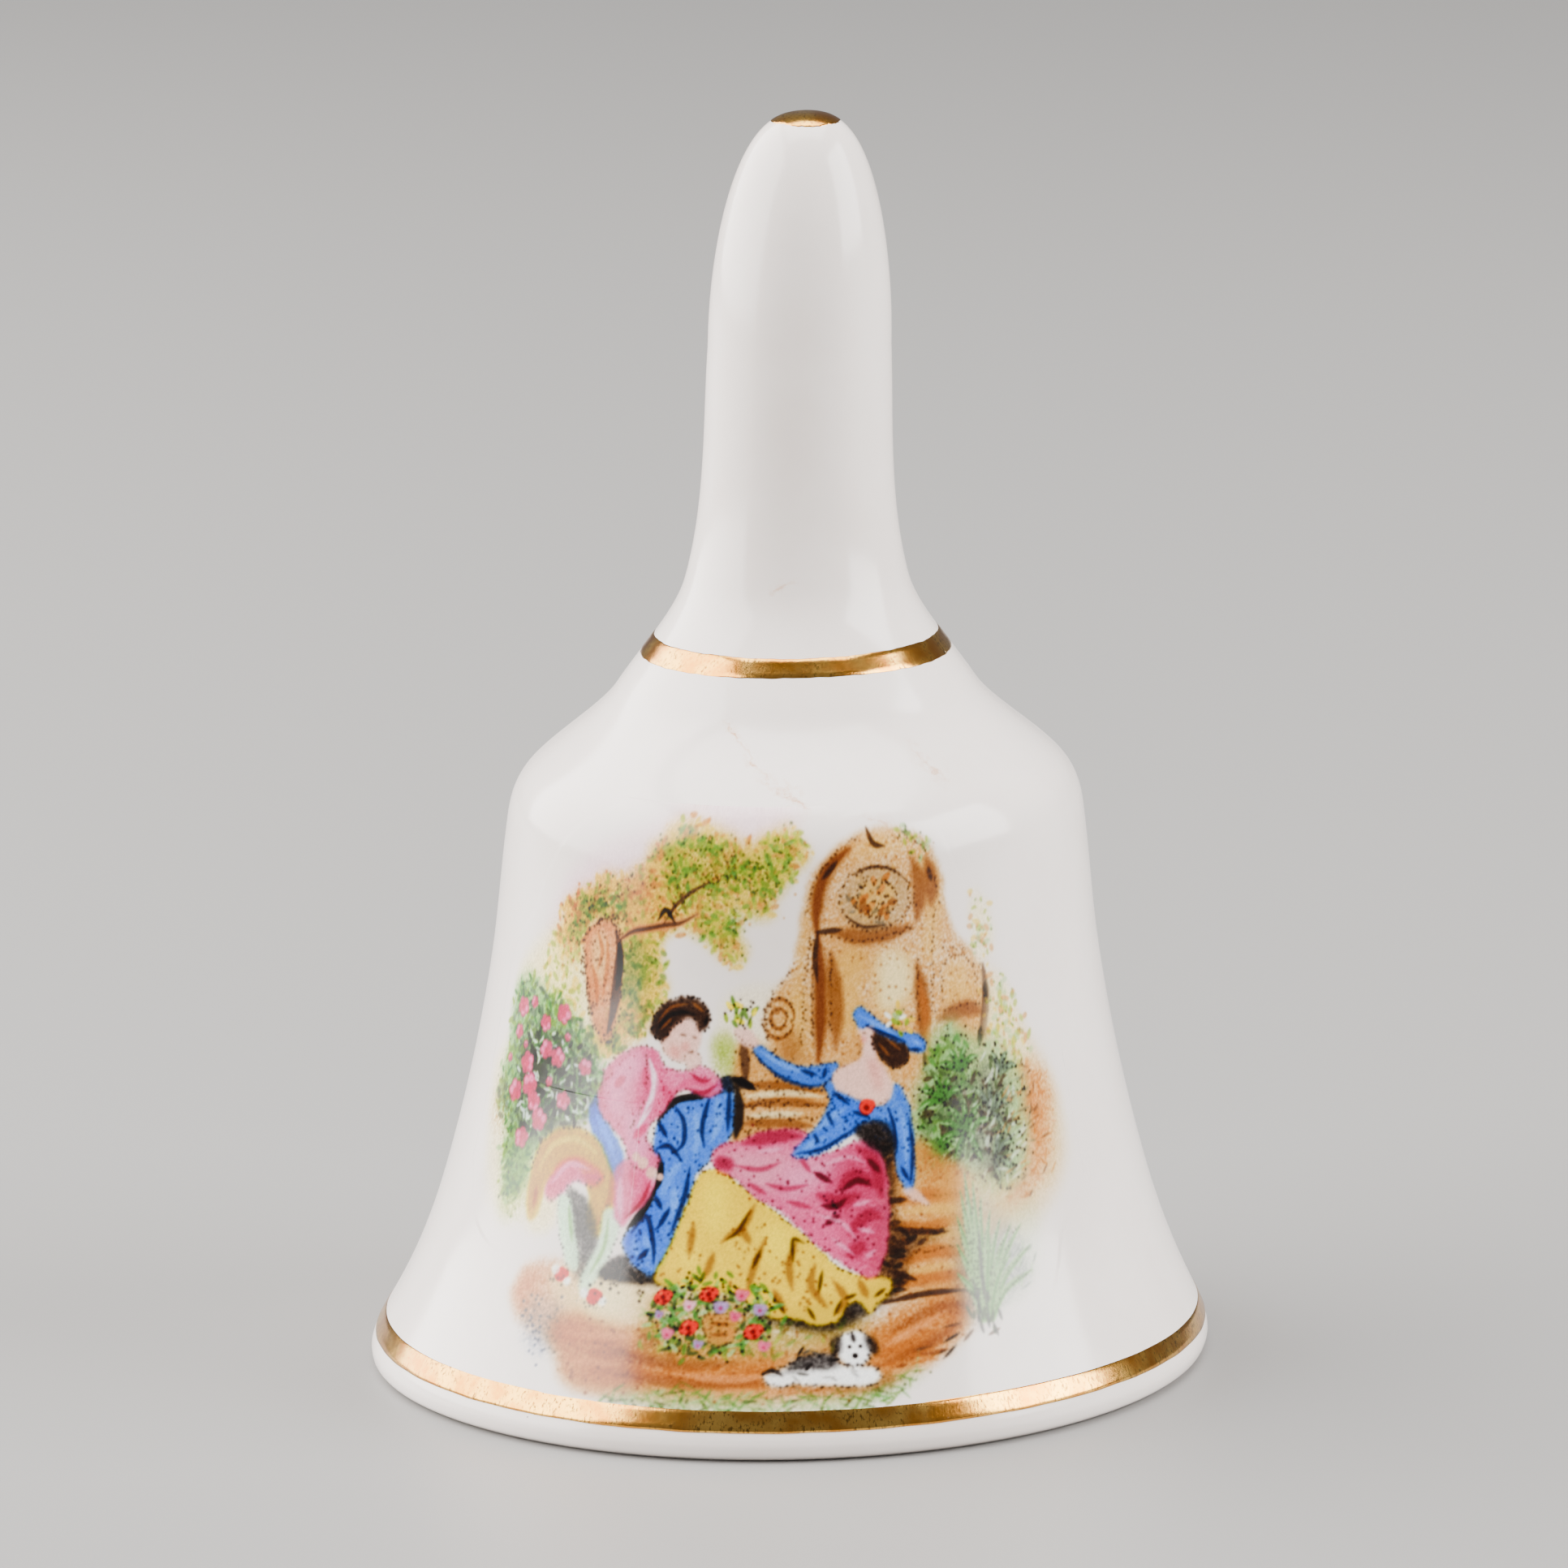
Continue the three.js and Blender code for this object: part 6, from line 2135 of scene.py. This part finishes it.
@dataclass
class PictureFilm:
    """The printed picture as thin pieces of enamel that follow the skirt.

    Where nothing is printed the film dips under the glaze, so that only the print shows. Towards the left
    the print is laid darker: painted shade that offsets the key lamp falling strongest on that side.
    """

    form: BellForm
    canvas: PrintCanvas
    reach: float = 20.0
    columns: int = 3
    rows: int = 2
    fine: int = 296
    coarse: int = 37
    lift: float = 0.012
    sunk: float = 0.02
    lap: float = 0.2
    lap_rise: float = 0.003
    tuck: float = 0.015
    tuck_cells: int = 3
    depth: float = 0.12
    strength: float = 1.75
    # Painted shade: the print is laid darker towards its left edge, against the key lamp's stronger light
    # there.
    left_painted_shade: float = 2.9
    painted_shade_start: float = -7.0
    painted_shade_end: float = -17.0

    def sample(self, grid: np.ndarray, across: np.ndarray, up: np.ndarray) -> np.ndarray:
        """Reads a grid of the canvas at points in millimetres.

        Args:
            grid: The grid.
            across: Places across.
            up: Places up.

        Returns:
            The grid's value at each point.
        """
        c = self.canvas
        x = np.clip((across - c.left) * c.per_mm - 0.5, 0, c.columns - 1.001)
        y = np.clip((up - c.low) * c.per_mm - 0.5, 0, c.rows - 1.001)
        i, j = y.astype(int), x.astype(int)
        s, t = y - i, x - j
        if grid.ndim == 3:
            s, t = s[:, None], t[:, None]
        return ((grid[i, j] * (1 - t) + grid[i, j + 1] * t) * (1 - s)
                + (grid[i + 1, j] * (1 - t) + grid[i + 1, j + 1] * t) * s)

    def build(self, material: bpy.types.Material) -> list[bpy.types.Object]:
        """Makes the pieces of film, side by side and one above the other.

        Args:
            material: The enamel.

        Returns:
            The pieces.
        """
        c = self.canvas
        grown = soften((c.cover > 0.015).astype(float), 6.0) > 0.02
        near = np.clip(soften(grown.astype(float), 12.0) * 2, 0, 1)
        across = np.linspace(c.left, c.right, self.columns + 1)
        up = np.linspace(c.low, c.high, self.rows + 1)
        pieces = []
        for row in range(self.rows):
            for column in range(self.columns):
                name = f"printed_picture_{row * self.columns + column + 1}"
                span = (across[column] - self.lap, across[column + 1] + self.lap,
                        up[row] - self.lap, up[row + 1] + self.lap)
                pieces.append(self.piece(name, span, self.lap_rise * ((row + column) % 2), near, material))
        return pieces

    def piece(self, name: str, span: tuple[float, float, float, float], rise: float, near: np.ndarray,
              material: bpy.types.Material) -> bpy.types.Object:
        """Makes one piece of film: a fine face, a coarse back, and walls between their edges.

        Args:
            name: The piece's name.
            span: Left, right, low and high edges on the canvas, in millimetres.
            rise: How far the piece laps over its neighbours, in millimetres.
            near: How close each place on the canvas is to the print, from 0 to 1.
            material: The enamel.

        Returns:
            The piece.
        """
        n, m = self.fine, self.coarse
        step = n // m
        x, y = (g.ravel() for g in np.meshgrid(np.linspace(span[0], span[1], n + 1),
                                               np.linspace(span[2], span[3], n + 1)))
        edge = np.minimum(np.arange(n + 1), np.arange(n + 1)[::-1])
        rim = np.minimum(edge[:, None], edge[None, :]).ravel()
        tuck = self.tuck * (np.maximum(self.tuck_cells - rim, 0) / self.tuck_cells) ** 2
        lift = (self.lift + self.sunk) * self.sample(near, x, y) - self.sunk + rise - tuck
        face = self.form.outside(x / self.reach, y, lift)
        keep = (np.arange(n + 1)[:, None] % step == 0) & (np.arange(n + 1)[None, :] % step == 0)
        bx, by = x[keep.ravel()], y[keep.ravel()]
        back = self.form.outside(bx / self.reach, by, -self.depth)
        i, j = (g.ravel() for g in np.meshgrid(np.arange(n), np.arange(n)))
        a = j * (n + 1) + i
        faces = np.stack([a, a + 1, a + n + 2, a + n + 1], 1).tolist()
        first = (n + 1) ** 2
        i, j = (g.ravel() for g in np.meshgrid(np.arange(m), np.arange(m)))
        b = first + j * (m + 1) + i
        faces += np.stack([b, b + m + 1, b + m + 2, b + 1], 1).tolist()
        faces += self.walls(first)
        piece = add_mesh(name, np.vstack([face, back]), faces, material)
        smooth = np.arange(len(faces)) < n * n
        piece.data.polygons.foreach_set("use_smooth", smooth.tolist())
        ground = linear(np.array(self.canvas.ground))
        # Painted shade: the ink is darkened more towards the left, where the key lamp falls strongest.
        left = np.clip((x - self.painted_shade_start) / (self.painted_shade_end - self.painted_shade_start), 0, 1)[:, None]
        strength = self.strength + (self.left_painted_shade - self.strength) * left
        colour = ground * (linear(self.sample(self.canvas.colour, x, y)) / ground) ** strength
        cover = 1 - (1 - self.sample(self.canvas.cover, x, y)) ** 8
        under = keep.ravel()
        self.write(piece.data, np.vstack([colour, colour[under]]), np.concatenate([cover, cover[under]]))
        return piece

    def walls(self, first: int) -> list:
        """Faces that join the fine face's edge to the coarse back's edge.

        Args:
            first: Number of the back's first corner.

        Returns:
            The faces.
        """
        n, m = self.fine, self.coarse
        step = n // m
        faces = []
        for k in range(m):
            run = range(k * step, (k + 1) * step + 1)
            edges = (
                (list(run), first + k, first + k + 1, False),
                ([n * (n + 1) + i for i in run], first + m * (m + 1) + k,
                 first + m * (m + 1) + k + 1, True),
                ([i * (n + 1) for i in run], first + k * (m + 1), first + (k + 1) * (m + 1), True),
                ([i * (n + 1) + n for i in run], first + k * (m + 1) + m,
                 first + (k + 1) * (m + 1) + m, False),
            )
            for fine, start, stop, turn in edges:
                face = [start, stop, *fine[::-1]]
                faces.append(face[::-1] if turn else face)
        return faces

    def write(self, mesh: bpy.types.Mesh, colour: np.ndarray, cover: np.ndarray) -> None:
        """Stores the enamel's colour and cover on the mesh.

        Args:
            mesh: The piece's mesh.
            colour: Each corner's colour.
            cover: How far it covers the white.
        """
        whole = np.ones((len(colour), 4), np.float32)
        whole[:, :3] = colour
        mesh.attributes.new("enamel", "FLOAT_COLOR", "POINT").data.foreach_set("color", whole.ravel())
        mesh.attributes.new("print", "FLOAT", "POINT").data.foreach_set("value", cover.astype(np.float32))


# ---- Stage ----


@dataclass(frozen=True)
class Lamp:
    """A soft rectangular lamp: its place, its sides, its power in watts and its colour."""

    name: str
    at: tuple[float, float, float]
    size: tuple[float, float]
    power: float
    colour: Colour


@dataclass
class Stage:
    """A pale floor, soft light and the camera. Places are in metres."""

    distance: float = 0.625
    elevation: float = 12.45
    aim_height: float = 0.03516
    lens: float = 238.3
    roll: float = 1.13
    floor_radius: float = 4.0
    lamps: tuple[Lamp, ...] = (
        Lamp("key", (-0.50, 0.06, 0.31), (0.95, 0.62), 17.5, (1.0, 0.97, 0.94)),
        Lamp("window", (0.52, -0.14, 0.28), (0.40, 0.42), 8.0, (1.0, 0.98, 0.96)),
        Lamp("top", (0.0, 0.06, 0.95), (0.95, 0.70), 16.5, (1.0, 0.98, 0.96)),
    )

    def floor(self) -> None:
        """Lays a wide pale floor."""
        turn = np.linspace(0, 2 * math.pi, 96, endpoint=False)
        rim = np.stack([np.cos(turn), np.sin(turn), 0 * turn], 1) * self.floor_radius / MM
        shader = Shader("pale_floor")
        shader.set(base_color=(0.27, 0.265, 0.26), roughness=0.5)
        add_mesh("floor", rim, [list(range(96))], shader.material)

    def hang(self, lamp: Lamp) -> None:
        """Hangs a lamp so that it faces the bell.

        Args:
            lamp: The lamp.
        """
        data = bpy.data.lights.new(lamp.name, "AREA")
        data.shape, data.size, data.size_y = "RECTANGLE", *lamp.size
        data.energy, data.color = lamp.power, lamp.colour
        light = bpy.data.objects.new(lamp.name, data)
        light.location = lamp.at
        towards = Vector((0, 0, self.aim_height)) - light.location
        light.rotation_euler = towards.to_track_quat("-Z", "Y").to_euler()
        bpy.context.scene.collection.objects.link(light)

    def world(self) -> None:
        """Fills the room with dim even light."""
        world = bpy.data.worlds.new("room")
        world.use_nodes = True
        back = world.node_tree.nodes["Background"]
        back.inputs["Color"].default_value = (0.80, 0.82, 0.85, 1)
        back.inputs["Strength"].default_value = 0.26
        bpy.context.scene.world = world

    def camera(self) -> None:
        """Stands the camera in front of the bell, a little above it."""
        data = bpy.data.cameras.new("camera")
        data.lens, data.sensor_width = self.lens, 36
        data.clip_start, data.clip_end = 0.05, 20
        camera = bpy.data.objects.new("camera", data)
        rise = math.radians(self.elevation)
        aim = Vector((0, 0, self.aim_height))
        back = Vector((0, -math.cos(rise), math.sin(rise)))
        camera.location = aim + back * self.distance
        turn = (-back).to_track_quat("-Z", "Y")
        camera.rotation_mode = "QUATERNION"
        camera.rotation_quaternion = turn @ Quaternion((0, 0, 1), -math.radians(self.roll))
        bpy.context.scene.collection.objects.link(camera)
        bpy.context.scene.camera = camera

    def build(self) -> None:
        """Sets the whole stage."""
        self.floor()
        self.world()
        for lamp in self.lamps:
            self.hang(lamp)
        self.camera()


def main() -> None:
    """Builds the bell on its frame and sets the stage."""
    logging.basicConfig(level=logging.INFO, format="%(name)s: %(message)s")
    Stage().build()
    form = BellForm()
    porcelain = Porcelain()
    gold = FiredGold().build()
    ride(Shell(form).build(porcelain.build()), Body.SHELL, Slot.PORCELAIN, "bell_shell")
    rim_line = GoldLine(form, "gold_rim_line", low=1.87, high=3.10, seed=21)
    neck_line = GoldLine(form, "gold_neck_line", low=43.50, high=44.68, seed=22)
    for gilding in (rim_line, neck_line, GoldTip(form)):
        ride(gilding.build(gold), Body.SHELL, Slot.GILDING)
    picture = GardenPicture().paint()
    enamel = porcelain.build_print("enamel", "print")
    for piece in PictureFilm(form, picture).build(enamel):
        ride(piece, Body.SHELL, Slot.PORCELAIN)
    clapper = Clapper(DrawnBrass().build())
    ride(CementPlug(form).build(Cement().build()), Body.SHELL, Slot.CEMENT, "cement_plug")
    ride(clapper.staple(), Body.SHELL, Slot.WIRE, "crown_staple")
    ride(clapper.link(), Body.LINK, Slot.WIRE, "hanger_link")
    ride(clapper.rod(), Body.CLAPPER, Slot.WIRE, "clapper_rod")
    ride(clapper.bead(TurnedCeramic().build()), Body.BEAD, Slot.BEAD, "clapper_bead")


if __name__ == "__main__":
    main()
